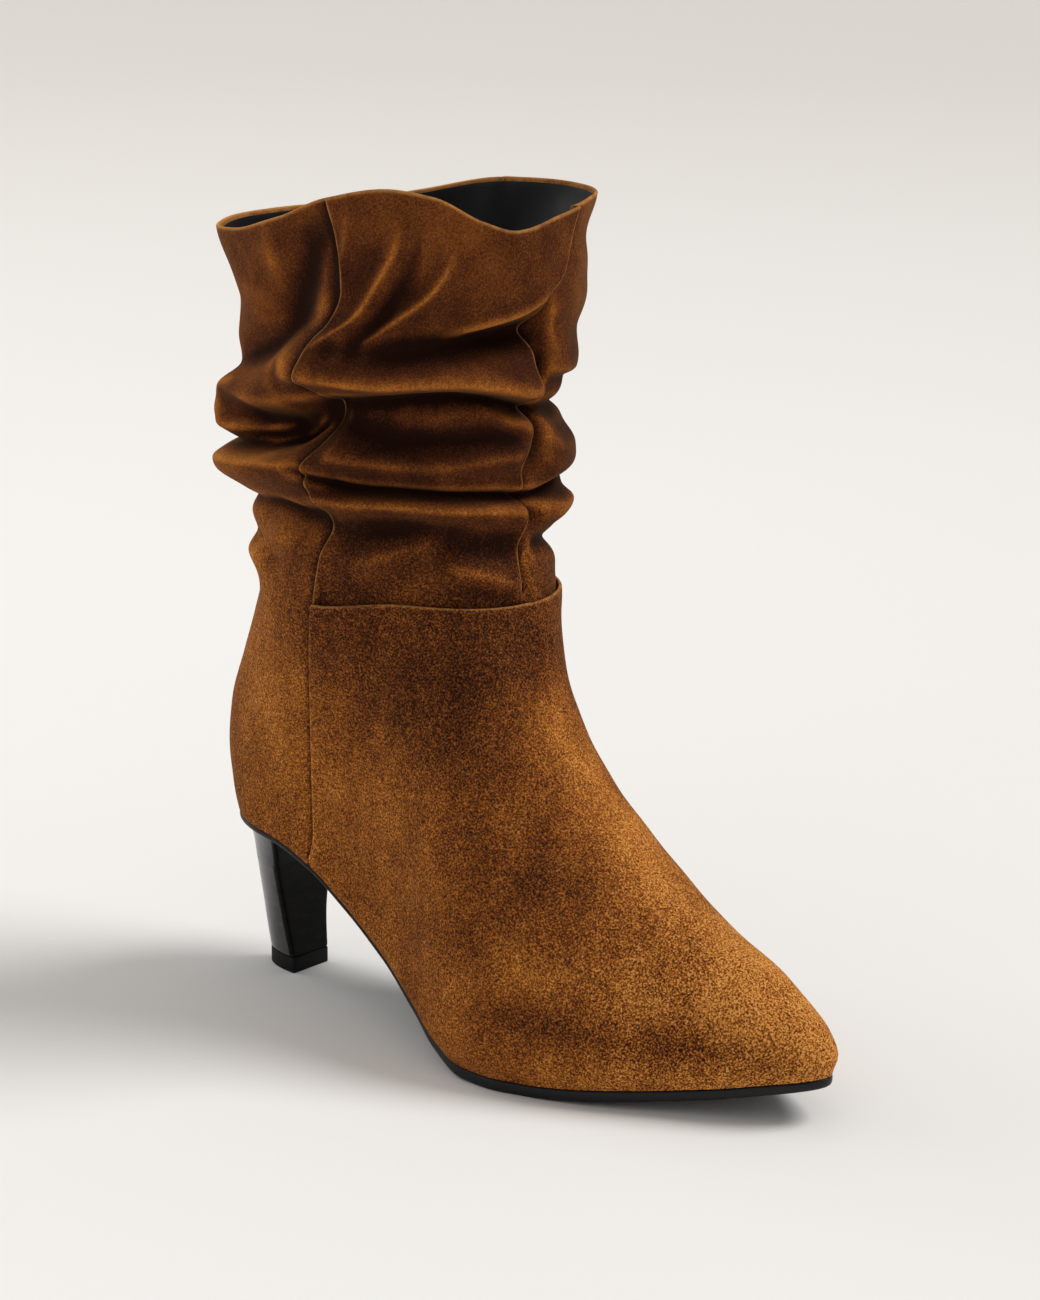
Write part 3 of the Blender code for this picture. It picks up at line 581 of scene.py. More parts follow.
# Folds of the slack shaft, each a soft ridge or trough along a path around it. In a row: how wide
# it is above and below the path in mm, how sharp (2 is round, less comes to a point, more is
# flat), how far it sinks over what is below it in mm, and the path's points, each with its angle
# in degrees, its height in mm and how far it stands out in mm.
FOLDS = (
    # Collar, spread a little at the back and at the inner front
    (12, 12, 2, 0, ((0, 257, 0), (20, 257, 2), (41, 258, 3.4), (60, 260, 2.4), (80, 266, 0.8),
     (94, 272, 0))),
    (12, 11, 2, 0, ((178, 272, 0), (195, 272, 1.6), (221, 272, 3.2), (240, 271, 2.4),
     (262, 268, 0))),
    # Rear panel, outer side
    (10, 6, 2, 0, ((40, 208, 0), (58, 217, -4), (72, 225, -6), (84, 234, -7), (92, 242, -5),
     (97, 248, -2.5), (101, 253, 0))),
    (12, 14, 3, 0, ((78, 257, 0), (86, 257, -2), (94, 257, -3.2), (101, 257, -3.2),
     (105, 257, -1.5), (107, 257, 0))),
    (8, 13, 4.5, 1, ((-40, 199, 0), (-10, 200.5, 7), (20, 201, 9.5), (34, 201.5, 10),
     (44, 203.5, 9), (54, 207, 7), (66, 212, 6), (76, 216, 5), (84, 219, 3), (92, 221, 0))),
    (6.5, 6.5, 2.8, 0, ((40, 199, 0), (48, 198, -6), (57, 197.5, -13), (66, 198, -15),
     (76, 199, -13), (84, 200, -9), (93, 200, -6), (102, 203, 0))),
    (2.0, 2.2, 2, 1, ((34, 194, 0), (42, 194, 2), (50, 195, 5), (60, 196.5, 5), (70, 199, 0))),
    (1.4, 1.4, 1.5, 0, ((-40, 190.5, 0), (5, 188.4, -3.5), (34, 187.8, -4.5), (50, 188.5, -6),
     (60, 189.5, -7), (73, 193, -9), (82, 197, -7), (90, 201, 0))),
    (4.5, 7.5, 2.6, 1, ((-35, 180, 0), (0, 181, 9), (20, 182, 12.5), (34, 182.5, 13.5),
     (50, 184, 11), (65, 186, 8), (78, 187, 6), (92, 188, 4), (104, 188, 0))),
    (2, 6, 1.6, 0, ((-20, 170, 0), (15, 170, -2), (40, 171, -4), (54, 172, -5), (70, 173, -6),
     (82, 172.5, -6), (92, 174, -4), (104, 177, 0))),
    (5, 4, 2, 0, ((-20, 165, 0), (10, 165, 2), (30, 166, 2.8), (48, 168, 2), (60, 169, 0))),
    (3, 3, 2, 0, ((0, 158, 0), (20, 158, -1), (40, 159, -1.5), (55, 160, -1), (68, 161, 0))),
    (4, 5, 2, 0, ((-20, 150, 0), (10, 150, 1.5), (30, 150.5, 2.4), (48, 152, 2), (64, 154, 0))),
    # Front panel, outer side
    (1.9, 2.6, 1.2, 0, ((90, 224, 0), (97, 229, 3), (105, 235, 4), (113, 242, 4), (120, 252, 3),
     (124, 259, 1.5), (127, 266, 0))),
    (3, 3, 2, 0, ((104, 228, 0), (110, 232, -2), (116, 237, -3), (122, 243, -3), (127, 249, -2),
     (131, 255, -1), (134, 261, 0))),
    (1.9, 2.6, 1.2, 0, ((108, 229, 0), (115, 234, 3), (123, 239.4, 4), (130, 243.7, 4.5),
     (135, 247.5, 4), (140, 253, 2), (145, 260, 0))),
    (12, 8, 2, 0, ((130, 246, 0), (145, 247, 2), (160, 248, 3), (175, 249, 3), (190, 251, 0))),
    (5, 4, 2, 0, ((112, 229, 0), (124, 229.5, -3), (136, 230.5, -6), (147, 231, -9),
     (158, 231.5, -11), (168, 232, -11), (176, 233, -9), (184, 236, 0))),
    (3, 2, 2, 1.5, ((138, 233, 0), (147, 235, 2), (155, 238, 3.5), (163, 240.5, 4), (172, 243, 3),
     (182, 246, 0))),
    (5, 5, 2.2, 3, ((80, 219.5, 0), (88, 220, 5), (97, 220.5, 8), (117, 222, 8.5),
     (130, 222.5, 8), (144, 222.5, 8), (158, 221.5, 8.5), (168, 220, 9), (174, 219, 7),
     (179, 218, 0))),
    (1.6, 6, 1.5, 0, ((76, 206, 0), (84, 206.5, -4), (92, 208, -8), (103, 210, -10),
     (117, 213, -10), (130, 214.2, -9), (144, 214.2, -9), (156, 213.5, -9), (167, 211.5, -9),
     (178, 209, -7), (186, 208, 0))),
    (2.5, 6, 2, 1, ((138, 212.5, 0), (150, 212, 3), (158, 210.5, 5), (166, 208, 6.5),
     (173, 206, 6), (179, 205, 0))),
    (7, 4, 2, 0, ((86, 203, 0), (98, 202.5, -4), (117, 202, -5), (135, 201, -4.5),
     (148, 200.5, -3), (164, 201, -2), (176, 202, 0))),
    (3.6, 5, 2, 1.5, ((70, 192, 0), (85, 194, 3.6), (97, 195, 3.6), (109, 195.4, 3.4),
     (118, 195.2, 3.1), (131, 194, 2.7), (144, 193.5, 2.7), (158, 194, 2.9), (168, 194.5, 2.9),
     (178, 195, 0))),
    (1.3, 1.3, 1.3, 0, ((86, 189.5, 0), (94, 187, -3), (103, 185, -6), (118, 183.6, -7.5),
     (136, 183.4, -8), (151, 182.6, -9), (167, 181.2, -9.5), (178, 180.6, -9), (186, 180.6, -7),
     (197, 182, -5), (206, 183, -3), (218, 182, -2), (232, 182, 0))),
    (1.8, 5.5, 1.9, 0, ((88, 179, 0), (103, 180, 3.5), (118, 180.3, 4.8), (130, 180.3, 5),
     (148, 179.6, 5), (165, 178.2, 5), (174, 177.4, 4), (180, 177, 0))),
    (5, 6, 2, 0, ((88, 171, 0), (103, 171, -3), (117, 172, -3.5), (130, 172.6, -3),
     (149, 170, -3), (165, 168, -3), (178, 167, 0))),
    (5, 5, 2, 0, ((100, 156, 0), (110, 160, 2), (121, 164, 3), (135, 168, 2.5), (146, 171, 0))),
    (4, 4, 2, 0, ((143, 162, 0), (151, 160, 2.5), (162, 157, 3.5), (170, 153, 3), (177, 150, 0))),
    # Front seam, drawn in between the rolls
    (14, 14, 3, 0, ((176.5, 212, 0), (180, 212, -5), (183.5, 212, 0))),
    # Front panel, inner side
    (14, 15, 2.6, 0, ((180, 245, 0), (192, 245, 3), (205, 245, 4.5), (222, 245, 4.5),
     (240, 245, 3), (258, 245, 0))),
    (8, 3.2, 2.6, 1.5, ((181, 224, 0), (187, 223, 3), (200, 221, 4), (214, 219.5, 4.5),
     (230, 219, 5), (246, 217, 5), (262, 216, 0))),
    (3, 3, 2, 0, ((176, 210, 0), (186, 208.5, -4), (200, 206.5, -5), (214, 205.8, -5),
     (232, 205, -4), (250, 204, 0))),
    (6, 8, 3, 1, ((180, 199, 0), (187, 197, 4), (197, 193.5, 5.5), (214, 191.5, 5), (232, 191, 4),
     (250, 190, 0))),
    (3.2, 6, 2.6, 0, ((180, 178, 0), (187, 177, 4), (197, 175.5, 5.5), (206, 174.5, 5.5),
     (216, 173.5, 4.8), (236, 172, 0))),
    (3, 4, 1.8, 0, ((178, 166, 0), (186, 165, -3), (199, 163, -4.5), (214, 161.5, -4.5),
     (232, 161, -3), (250, 160, 0))),
    # Inner side
    (9, 4, 2, 3, ((228, 212, 0), (245, 214, 4), (262, 216, 6), (282, 218, 6), (302, 220, 5),
     (325, 221, 3), (350, 222, 0))),
    (2, 3, 1.5, 0, ((226, 206, 0), (242, 207, -4), (260, 209, -7), (282, 211, -7), (305, 213, -6),
     (330, 215, -4), (352, 216, 0))),
    (3, 3, 2, 1, ((236, 200, 0), (252, 202, 3), (272, 204, 4.5), (295, 206, 4), (318, 208, 3),
     (345, 210, 0))),
    (1.8, 4, 1.5, 0, ((240, 195, 0), (255, 196, -3), (275, 198, -5), (298, 200, -4),
     (325, 203, 0))),
    (7, 7, 2, 1, ((236, 184, 0), (255, 184, 3), (280, 185, 3.5), (305, 188, 2.5), (330, 192, 0))),
    (2.5, 5, 1.7, 0, ((232, 172, 0), (250, 172, -2.5), (272, 174, -4), (292, 176, -3),
     (312, 180, 0))),
    (4, 5, 2, 0, ((240, 161, 0), (258, 162, 2), (280, 164, 2.5), (300, 166, 0))),
    (6, 6, 2, 0, ((296, 120, 0), (308, 138, 1.5), (320, 156, 2.5), (334, 172, 2.5), (350, 186, 0))),
)


def fold_shift(angle, height):
    """How far the folds push the shaft out and let it hang, at an angle and a height."""
    out = np.zeros_like(height)
    down = np.zeros_like(height)
    level = height / MM
    for above, below, sharp, hang, path in FOLDS:
        path_angle, path_height, path_out = (np.array(c, float) for c in zip(*path))
        highest = np.abs(path_out).max()
        for turn in (-360, 0, 360):
            at = angle + turn
            inside = (at > path_angle[0]) & (at < path_angle[-1])
            if not inside.any():
                continue
            here = at[inside]
            middle = smooth(path_angle, path_height, here)
            after = smooth(path_angle, path_height, here + 1)
            before = smooth(path_angle, path_height, here - 1)
            steep = (after - before) / (2 * ARC_PER_DEGREE)
            away = (level[inside] - middle) / np.sqrt(1 + steep ** 2)
            weight = np.exp(-np.abs(away / np.where(away > 0, above, below)) ** sharp)
            strength = smooth(path_angle, path_out, here) * weight
            out[inside] += MM * strength
            down[inside] += MM * hang * np.abs(strength) / highest
    return out, down


def new_object(name, points, faces, material):
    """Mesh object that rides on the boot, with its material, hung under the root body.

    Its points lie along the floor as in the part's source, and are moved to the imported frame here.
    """
    mesh = bpy.data.meshes.new(name)
    mesh.from_pydata((points + to_frame).reshape(-1, 3).tolist(), [], faces)
    mesh.validate()
    mesh.polygons.foreach_set("use_smooth", [True] * len(mesh.polygons))
    obj = bpy.data.objects.new(name, mesh)
    obj.data.materials.append(material)
    bpy.context.scene.collection.objects.link(obj)
    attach(obj, "root")
    return obj


def set_values(obj, **values):
    """Store numbers for every vertex, for the material to read."""
    for name, numbers in values.items():
        attribute = obj.data.attributes.new(name, "FLOAT", "POINT")
        attribute.data.foreach_set("value", np.asarray(numbers, np.float32).ravel())


def edit_mesh(obj, change):
    """Make a change to an object's mesh, opened for editing."""
    bm = bmesh.new()
    bm.from_mesh(obj.data)
    change(bm)
    bm.to_mesh(obj.data)
    bm.free()


def drop_loose(bm):
    """Drop points that no face uses."""
    bmesh.ops.delete(bm, geom=[v for v in bm.verts if not v.link_faces], context="VERTS")


def turn_outward(bm):
    """Turn every face outward."""
    bmesh.ops.recalc_face_normals(bm, faces=bm.faces)


def quads(rows, columns, closed, keep=None, flip=False):
    """Faces between the points of a grid stored row by row."""
    faces = []
    last = columns if closed else columns - 1
    for j in range(rows - 1):
        for i in range(last):
            if keep is not None and not keep[j, i]:
                continue
            k = (i + 1) % columns
            face = (j * columns + i, j * columns + k, (j + 1) * columns + k, (j + 1) * columns + i)
            faces.append(face[::-1] if flip else face)
    return faces


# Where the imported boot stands: its outsole ends at the full length, and its tip is centred
tip_low, tip_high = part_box("heel_tip")
to_frame = np.array([
    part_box("outsole")[1].x - LENGTH,
    (tip_low.y + tip_high.y) / 2 - HEEL_SIDE_SHIFT,
    0.0,
])

# Fine columns: even ones, and more of them beside each seam
columns_total = 2 * (COARSE_REAR + COARSE_FRONT)
seam_places = {90: COARSE_REAR, 180: COARSE_REAR + COARSE_FRONT, 270: COARSE_REAR + 2 * COARSE_FRONT}
fine_at = list(np.arange(columns_total * FINE_COLUMNS) / FINE_COLUMNS)
for seam_place in seam_places.values():
    fine_at += [seam_place + away for away in BESIDE_SEAM]
fine_at = np.array(sorted(set(round(at, 4) for at in fine_at)))
fine_turn = np.interp(fine_at, np.arange(columns_total + 1), np.concatenate([coarse_turns(), [360.0]]))
in_front = (fine_turn >= 90 - 1e-6) & (fine_turn <= 270 + 1e-6)

# Fine rows up the foot and the shaft, and the plain form read from the coarse grid
even_rows = np.round(np.arange(COARSE_FOOT * FINE_FOOT + 1) / FINE_FOOT, 4)
foot_rows_at = np.array(sorted(set(even_rows) | {COARSE_FOOT - under for under in UNDER_VAMP_TOP}))
shaft_rows_at = np.linspace(0, COARSE_SHAFT, SHAFT_ROWS + 1)
foot_plain = resample(resample(coarse_foot(), foot_rows_at, 0), fine_at, 1, True)
shaft_plain = resample(resample(coarse_shaft(), shaft_rows_at, 0), fine_at, 1, True)
plain_grid = np.concatenate([foot_plain, shaft_plain[1:]])
foot_rows = len(foot_rows_at)


def from_seam(turn_at):
    """Signed distance of every fine column from a seam, in coarse columns."""
    away = fine_at - seam_places[turn_at]
    return (away + columns_total / 2) % columns_total - columns_total / 2


from_side_seam = np.minimum(np.abs(from_seam(90)), np.abs(from_seam(270)))

# Unevenness of the shaft's suede: how far noise moves the folds in degrees and in mm, and the depth
# of wrinkles, of soft swells and of the tuck under the vamp's top, in mm
WANDER_ANGLE = 1.1
WANDER_HEIGHT = 0.5
WRINKLE_DEPTH = 0.22
SWELL_DEPTH = 0.35
TUCK_UNDER_VAMP = 1.6


def folded_suede():
    """Suede of shaft and rear panel: rows from the sole's edge to the collar."""
    height = plain_grid[..., 2]
    angle = angle_at(np.broadcast_to(fine_turn, height.shape), height)
    cloth = (angle * ARC_PER_DEGREE * MM, height)
    from_back = fade(np.minimum(angle, 360 - angle), 0, BACK_CALM)
    wander = from_back * waves(cloth, seed=7, count=12, low=0.030, high=0.070)
    wander_too = from_back * waves(cloth, seed=11, count=12, low=0.030, high=0.070)
    out, down = fold_shift(angle + WANDER_ANGLE * wander, height + WANDER_HEIGHT * MM * wander_too)

    # Under the vamp the suede lies calm and tucked in
    over_ring = height - foot_plain[-1, :, 2]
    front = fade(np.where(in_front, from_side_seam, -from_side_seam), -0.2, 1.2)
    calm = 1 - front * (1 - fade(over_ring, 0.0, 9 * MM))
    tucked = -TUCK_UNDER_VAMP * MM * front * (1 - fade(over_ring, 3 * MM, 14 * MM))
    wrinkle = waves(cloth, seed=3, count=26, low=0.008, high=0.020, stretch=(0.45, 1.0))
    slack = from_back * fade(over_ring, 0.0, 20 * MM) * (1 - fade(height, 0.235, 0.265))
    swell = waves(cloth, seed=5, count=14, low=0.022, high=0.050)
    ankle_up = from_back * fade(height, 0.10, 0.16)
    uneven = WRINKLE_DEPTH * wrinkle * slack + SWELL_DEPTH * swell * ankle_up
    seams = seam_lift(over_ring) * fade(row_numbers(plain_grid), 0, 8)
    shove = calm * out + tucked + MM * uneven + seams

    # The shaft is pushed level and outward, the foot at right angles to its surface
    radial = np.stack([-np.cos(np.radians(angle)), -np.sin(np.radians(angle)), 0 * angle], -1)
    level = fade(height, 0.120, 0.150)[..., None]
    direction = unit(level * radial + (1 - level) * soft_normals(plain_grid))
    points = plain_grid + shove[..., None] * direction
    points[..., 2] -= down * calm * fade(shaft_plain[-1, :, 2] - height, 0.0, 20 * MM)
    points[1:-1] = soften(points, 2)[1:-1]
    return points


# How far each seam's lip, drawn-in line, worn edge with painted highlight and dark line of painted
# shade reach, in coarse columns
LIP_REACH = 2.0
DIP_REACH = 1.1
WORN_HIGHLIGHT_REACH = 0.16
DARK_REACH = 0.6


def seam_lift(over_ring):
    """Raised lip of the panel in front of each seam, and the drawn-in line beside it."""
    shaft_part = fade(over_ring, -2 * MM, 3 * MM)

    # Distance from each seam, heights of its lip and its dip in mm, and where the dip shows
    seams = (
        (from_seam(90), 0.9, 1.0, 1.0),
        (-from_seam(270), 0.9, 1.0, 1.0),
        (-from_seam(180), 1.1, 1.6, shaft_part),
    )
    total = np.zeros(over_ring.shape)
    for away, lip_size, dip_size, part in seams:
        lip = np.where(away > -0.02, np.exp(-np.maximum(away, 0) / LIP_REACH), 0)
        dip = np.where(away <= -0.02, np.exp(np.minimum(away, 0) / DIP_REACH), 0)
        total = total + MM * (shaft_part * lip_size * lip - part * dip_size * dip)
    return total


suede_grid = folded_suede()

# Painted shade from bends that darken the creases: reach in rows and columns, the bend that counts
# as strong, share. Then the share of them that ridges keep as painted light, and the bends from which
# a crest starts and grows.
SHADE_BENDS = ((2, 0.25 * MM, 0.35), (6, 1.2 * MM, 0.45), (13, 3.5 * MM, 0.45))
RIDGE_SHARE = 0.1
CREST_FROM = 0.05 * MM
CREST_SIZE = 0.22 * MM


def bend(points, reach):
    """How far each point stands out from the mean of those some rows and columns away."""
    rows = np.arange(len(points))
    above = points[np.clip(rows + reach, 0, len(rows) - 1)]
    below = points[np.clip(rows - reach, 0, len(rows) - 1)]
    sides = np.roll(points, reach, axis=1) + np.roll(points, -reach, axis=1)
    return ((points - (above + below + sides) / 4) * grid_normals(points)).sum(-1)


def soften_values(values, times):
    """Average single values with their neighbours."""
    return soften(values[..., None], times)[..., 0]


def fold_value(points):
    """Painted shade from -1 in a crease to painted light a little over 0 on a ridge, from how the
    surface bends.
    """
    total = sum(share * np.tanh(bend(points, reach) / size) for reach, size, share in SHADE_BENDS)
    total = np.where(total > 0, RIDGE_SHARE * total, total)
    return soften_values(total, 2) * fade(row_numbers(points), 6, 22)


def crest_value(points):
    """1 on sharp small ridges, where the nap is rubbed light and a highlight is painted."""
    return soften_values(np.clip((bend(points, 2) - CREST_FROM) / CREST_SIZE, 0, 1), 3)


# Patches of the nap, some brushed lighter or darker and some painted shade and painted highlight,
# such as the shade along the vamp's foot and the highlight along the instep: place in mm along,
# across and up from the back of the heel, reach in mm, and how much lighter or darker
NAP_AND_LIGHT_PATCHES = (
    (140, -32, 95, 20, -0.4),
    (156, -27, 69, 15, -0.9),
    (140, -40, 50, 12, -0.9),
    (117, -29, 119, 16, -0.4),
    (127, -15, 134, 16, -0.5),
    (153, -43, 24, 8, -1.2),
    (165, -39, 25, 8, -1.3),
    (176, -35, 25, 8, -1.2),
    (188, -30, 25, 8, -1.3),
    (200, -24, 24, 8, -1.4),
    (210, -19, 23, 8, -1.3),
    (222, -12, 22, 8, -1.3),
    (233, -6, 21, 7, -0.9),
    (165, -36, 39, 10, 0.5),
    (190, -26, 37, 10, 0.6),
    (217, -10, 35, 9, 0.5),
    (64, -36, 117, 14, 0.5),
    (75, -30, 92, 18, 0.4),
    (89, -30, 44, 16, 0.1),
    (131, -44, 16, 13, 0.2),
    (101, -38, 190, 16, -0.6),
    (150, 0, 100, 18, 0.4),
    (178, 8, 68, 20, 0.7),
    (205, 12, 45, 18, 0.8),
    (228, 5, 24, 13, 0.7),
    (138, 1, 113, 13, 1.2),
    (150, 2, 100, 12, 0.8),
    (165, 2, 80, 13, 1.2),
    (180, 3, 66, 12, 0.8),
    (62, -32, 60, 20, 0.4),
    (40, -30, 100, 18, 0.5),
    (78, -47, 250, 13, -1.3),
    (20, -10, 90, 20, -0.3),
)

# Painted light and shade apart from those patches: painted shade where the rolls lie flat on the
# front panels and painted light on the rear one, darker on the shaft, painted shade between the
# rolls and at the instep, and painted light at the toe
FLAT_LIMIT = 0.6
FLAT_FRONT = 1.2
FLAT_REAR = 1.8
SHAFT_DARK = 1.45
COLLAR_LIGHT = 0.25
ROLLS_DARK = 0.4
ROLLS_MIDDLE = 200
ROLLS_REACH = 26
INSTEP_DARK = 1.4
TOE_LIGHT = 1.1


def nap_value(points, upward):
    """How much lighter or darker the suede is: brushed nap, and painted light and shade.
    Upward says how level the suede lies.
    """
    total = np.zeros(points.shape[:-1])
    for ahead, across, up, reach, amount in NAP_AND_LIGHT_PATCHES:
        away = np.linalg.norm(points - np.array([ahead, across, up]) * MM, axis=-1)
        total = total + amount * np.exp(-(away / (reach * MM)) ** 2)
    ahead = points[..., 0] / MM
    height = points[..., 2] / MM
    front = fade(ahead, 40, 75)
    shaft_part = fade(height, 140, 152) * front + fade(height, 165, 195) * (1 - front)
    panel = fade(ahead, 62, 92)
    # Painted shade where the suede lies level on the front panels, painted light on the rear one
    flat = shaft_part * np.clip(upward, 0, FLAT_LIMIT)
    total = total - FLAT_FRONT * flat * panel + FLAT_REAR * flat * (1 - panel)
    # Darker on the shaft, with painted shade between the rolls and at the instep, painted light at the
    # toe
    rolls = ROLLS_DARK * np.exp(-((height - ROLLS_MIDDLE) / ROLLS_REACH) ** 2)
    total = total - SHAFT_DARK * shaft_part * (1 - COLLAR_LIGHT * fade(height, 232, 268) + rolls)
    total = total - INSTEP_DARK * fade(height, 70, 135) * front * (1 - shaft_part)
    return total + TOE_LIGHT * fade(ahead, 165, 230)


# Edge turned in at the collar: steps inward and up in mm, then how many rows under the edge its
# inside ends, and how far inside the suede that lies in mm
COLLAR_TURN = ((0.1, 0.3), (0.4, 0.55), (0.8, 0.5), (1.1, 0.2), (1.25, -0.3))
COLLAR_INSIDE_ROWS = (5, 10, 15)
COLLAR_INSIDE = 1.35

# The suede under the vamp is left out but for a border, in coarse columns and fine rows
HIDDEN_FROM = 0.9
HIDDEN_BELOW = 12

# Tone of the shaft's edges: worn and light with painted highlight at the rim and the seams, a little
# painted light over the turned edge, painted shade beside the seams, and how much finer the grain is
# than on the foot
RIM_WORN_HIGHLIGHT = 0.7
RIM_INSIDE_WORN = 0.2
RIM_SHADING = 0.1
SEAM_WORN_HIGHLIGHT = 0.8
SEAM_DARK = 0.9
SHAFT_SMOOTH = 0.6


def turned_edge():
    """Rows that turn the suede's top row over and run down inside it."""
    top_row = suede_grid[-1]
    radial = top_row - top_row.mean(axis=0)
    radial[:, 2] = 0
    radial = unit(radial)
    up = np.array([0, 0, 1.0])
    rows = [top_row - inward * MM * radial + rise * MM * up for inward, rise in COLLAR_TURN]
    return rows + [suede_grid[-row] - COLLAR_INSIDE * MM * radial for row in COLLAR_INSIDE_ROWS]


def seam_shading(over_ring):
    """How worn and light the lip of each seam is, with painted highlight, and how dark the painted shade
    beside it.
    """
    worn = np.zeros(over_ring.shape)
    dark = np.zeros(over_ring.shape)
    for turn_at, sign in ((90, 1), (180, -1), (270, -1)):
        away = sign * from_seam(turn_at)
        lip = (away > -0.01) & (away < 0.8)
        worn += np.where(lip, SEAM_WORN_HIGHLIGHT * np.exp(-(away / WORN_HIGHLIGHT_REACH) ** 2), 0)
        dark += np.where(away < -0.03, np.exp(-(away / DARK_REACH) ** 2), 0)
    near_front_seam = np.abs(from_seam(180)) < 2
    seen = np.where(near_front_seam, fade(over_ring, -2 * MM, 2 * MM), 1)
    return worn * seen, dark * seen


def make_shaft(material):
    """Shaft and rear panel, with its edge turned in at the collar."""
    rows, columns = suede_grid.shape[:2]
    points = np.concatenate([suede_grid, turned_edge()])
    hidden = (np.arange(len(points) - 1) < foot_rows - HIDDEN_BELOW)[:, None]
    keep = ~(hidden & in_front & (from_side_seam > HIDDEN_FROM))
    faces = quads(len(points), columns, True, keep)
    obj = new_object("suede_shaft", points, faces, material)
    over_ring = points[..., 2] - foot_plain[-1, :, 2]
    # Light worn seam lips with painted highlight, and painted shade beside the seams
    worn, dark = seam_shading(over_ring)
    rim_end = rows + len(COLLAR_TURN)
    # The rim's worn light line carries painted highlight too
    worn[rows - 1:rim_end] = RIM_WORN_HIGHLIGHT
    worn[rim_end:] = RIM_INSIDE_WORN
    # Painted shade in the creases and beside the seams, a little painted light over the turned edge
    fold = fold_value(points)
    fold[rows:] = RIM_SHADING
    # The nap values bring brushed patches and painted light and shade
    set_values(
        obj,
        crest=crest_value(points) * fade(over_ring, 2 * MM, 12 * MM),
        worn=worn,
        fold=fold - SEAM_DARK * dark,
        nap=nap_value(points, grid_normals(points)[..., 2]),
        grain=1.0 - SHAFT_SMOOTH * fade(points[..., 2], 0.130, 0.195),
    )
    edit_mesh(obj, drop_loose)
    return obj


# The vamp's cut edge, in mm: the radius that rounds it, how far its worn line with painted highlight
# and its light band of painted highlight reach, how deep its side and top edges go under the sheet,
# the rows that its top edge runs back under it, and the unevenness of the sheet. Its rounding starts
# at a share of its step.
EDGE_START = 0.25
EDGE_RADIUS = 0.4
EDGE_WORN_HIGHLIGHT = 0.35
EDGE_BAND = 0.8
SIDE_DEPTH = 0.4
TOP_DEPTH = 0.1
TOP_ROWS = 8
SHEET_WAVES = 0.30

# Tone of the vamp: how worn and light its edges are, with painted highlight, how light the painted
# highlight band along them, and its grain at the toe
VAMP_WORN_HIGHLIGHT = 0.7
VAMP_TOP_WORN_HIGHLIGHT = 0.4
VAMP_BAND = 0.4
TOE_GRAIN = 0.5


def make_vamp(material):
    """Vamp: a sheet over the foot's front, with a cut edge at its top and sides."""
    picked = np.where(in_front)[0]
    plain = foot_plain[:, picked]
    rows_over = 5
    normal = soft_normals(plain_grid[:foot_rows + rows_over])[:foot_rows, picked]
    coarse_steps = fine_at[picked[3]] - fine_at[picked[0]]
    column_width = np.linalg.norm(plain[:, 3] - plain[:, 0], axis=1) / coarse_steps
    from_side = from_side_seam[picked] * column_width[:, None]
    near_edge = np.minimum(from_side, plain[-1, :, 2] - plain[..., 2])
    flat = np.clip(near_edge / (EDGE_RADIUS * MM), 0, 1)
    rounding = np.sqrt(np.clip(1 - (1 - flat) ** 2, 0, 1))
    wave = waves(np.moveaxis(plain, -1, 0), seed=21, count=20, low=0.020, high=0.060)
    step = VAMP_STEP * (EDGE_START + (1 - EDGE_START) * rounding)
    out = step + SHEET_WAVES * MM * wave * fade(near_edge, 0, 8 * MM)
    sheet = plain + (out * fade(row_numbers(plain), 0, 4))[..., None] * normal
    under_side = plain - SIDE_DEPTH * MM * normal
    under_top = plain - TOP_DEPTH * MM * normal
    rows = len(sheet)
    block = np.concatenate([under_side[:, :1], sheet, under_side[:, -1:]], axis=1)
    rim = np.stack([block[-1], block[-1]])
    rim[:, 1:-1] = under_top[[-1, -TOP_ROWS]]
    block = np.concatenate([block, rim])
    faces = quads(len(block), block.shape[1], False)
    obj = new_object("suede_vamp", block, faces, material)
    # Light worn edges, partly painted highlight
    worn = np.zeros(block.shape[:2])
    worn[:rows, 1:-1] = VAMP_WORN_HIGHLIGHT * np.exp(-(near_edge / (EDGE_WORN_HIGHLIGHT * MM)) ** 2)
    worn[:rows, [0, -1]] = 1
    worn[rows:] = VAMP_TOP_WORN_HIGHLIGHT
    # A band of painted highlight along the cut edges
    fold = np.zeros(block.shape[:2])
    fold[:rows, 1:-1] = VAMP_BAND * np.exp(-(near_edge / (EDGE_BAND * MM)) ** 2)
    none = np.zeros(block.shape[:2])
    grain = 1.0 + TOE_GRAIN * fade(block[..., 0], 0.15, 0.22)
    # The nap values bring brushed patches, painted shade at the instep and painted light at the toe
    set_values(obj, worn=worn, fold=fold, nap=nap_value(block, none), crest=none, grain=grain)
    return obj


# The lining, in mm: how far it stays inside the suede at the collar and below, more at the seams,
# and how far its edge stands under the suede's
LINING_AT_COLLAR = 1.6
LINING_BELOW = 2.3
LINING_AT_SEAMS = 0.8
LINING_EDGE = 0.8

# How many coarse columns beside a seam and fine rows under the collar those reach
LINING_SEAM_COLUMNS = 3.5
LINING_COLLAR_ROWS = 40


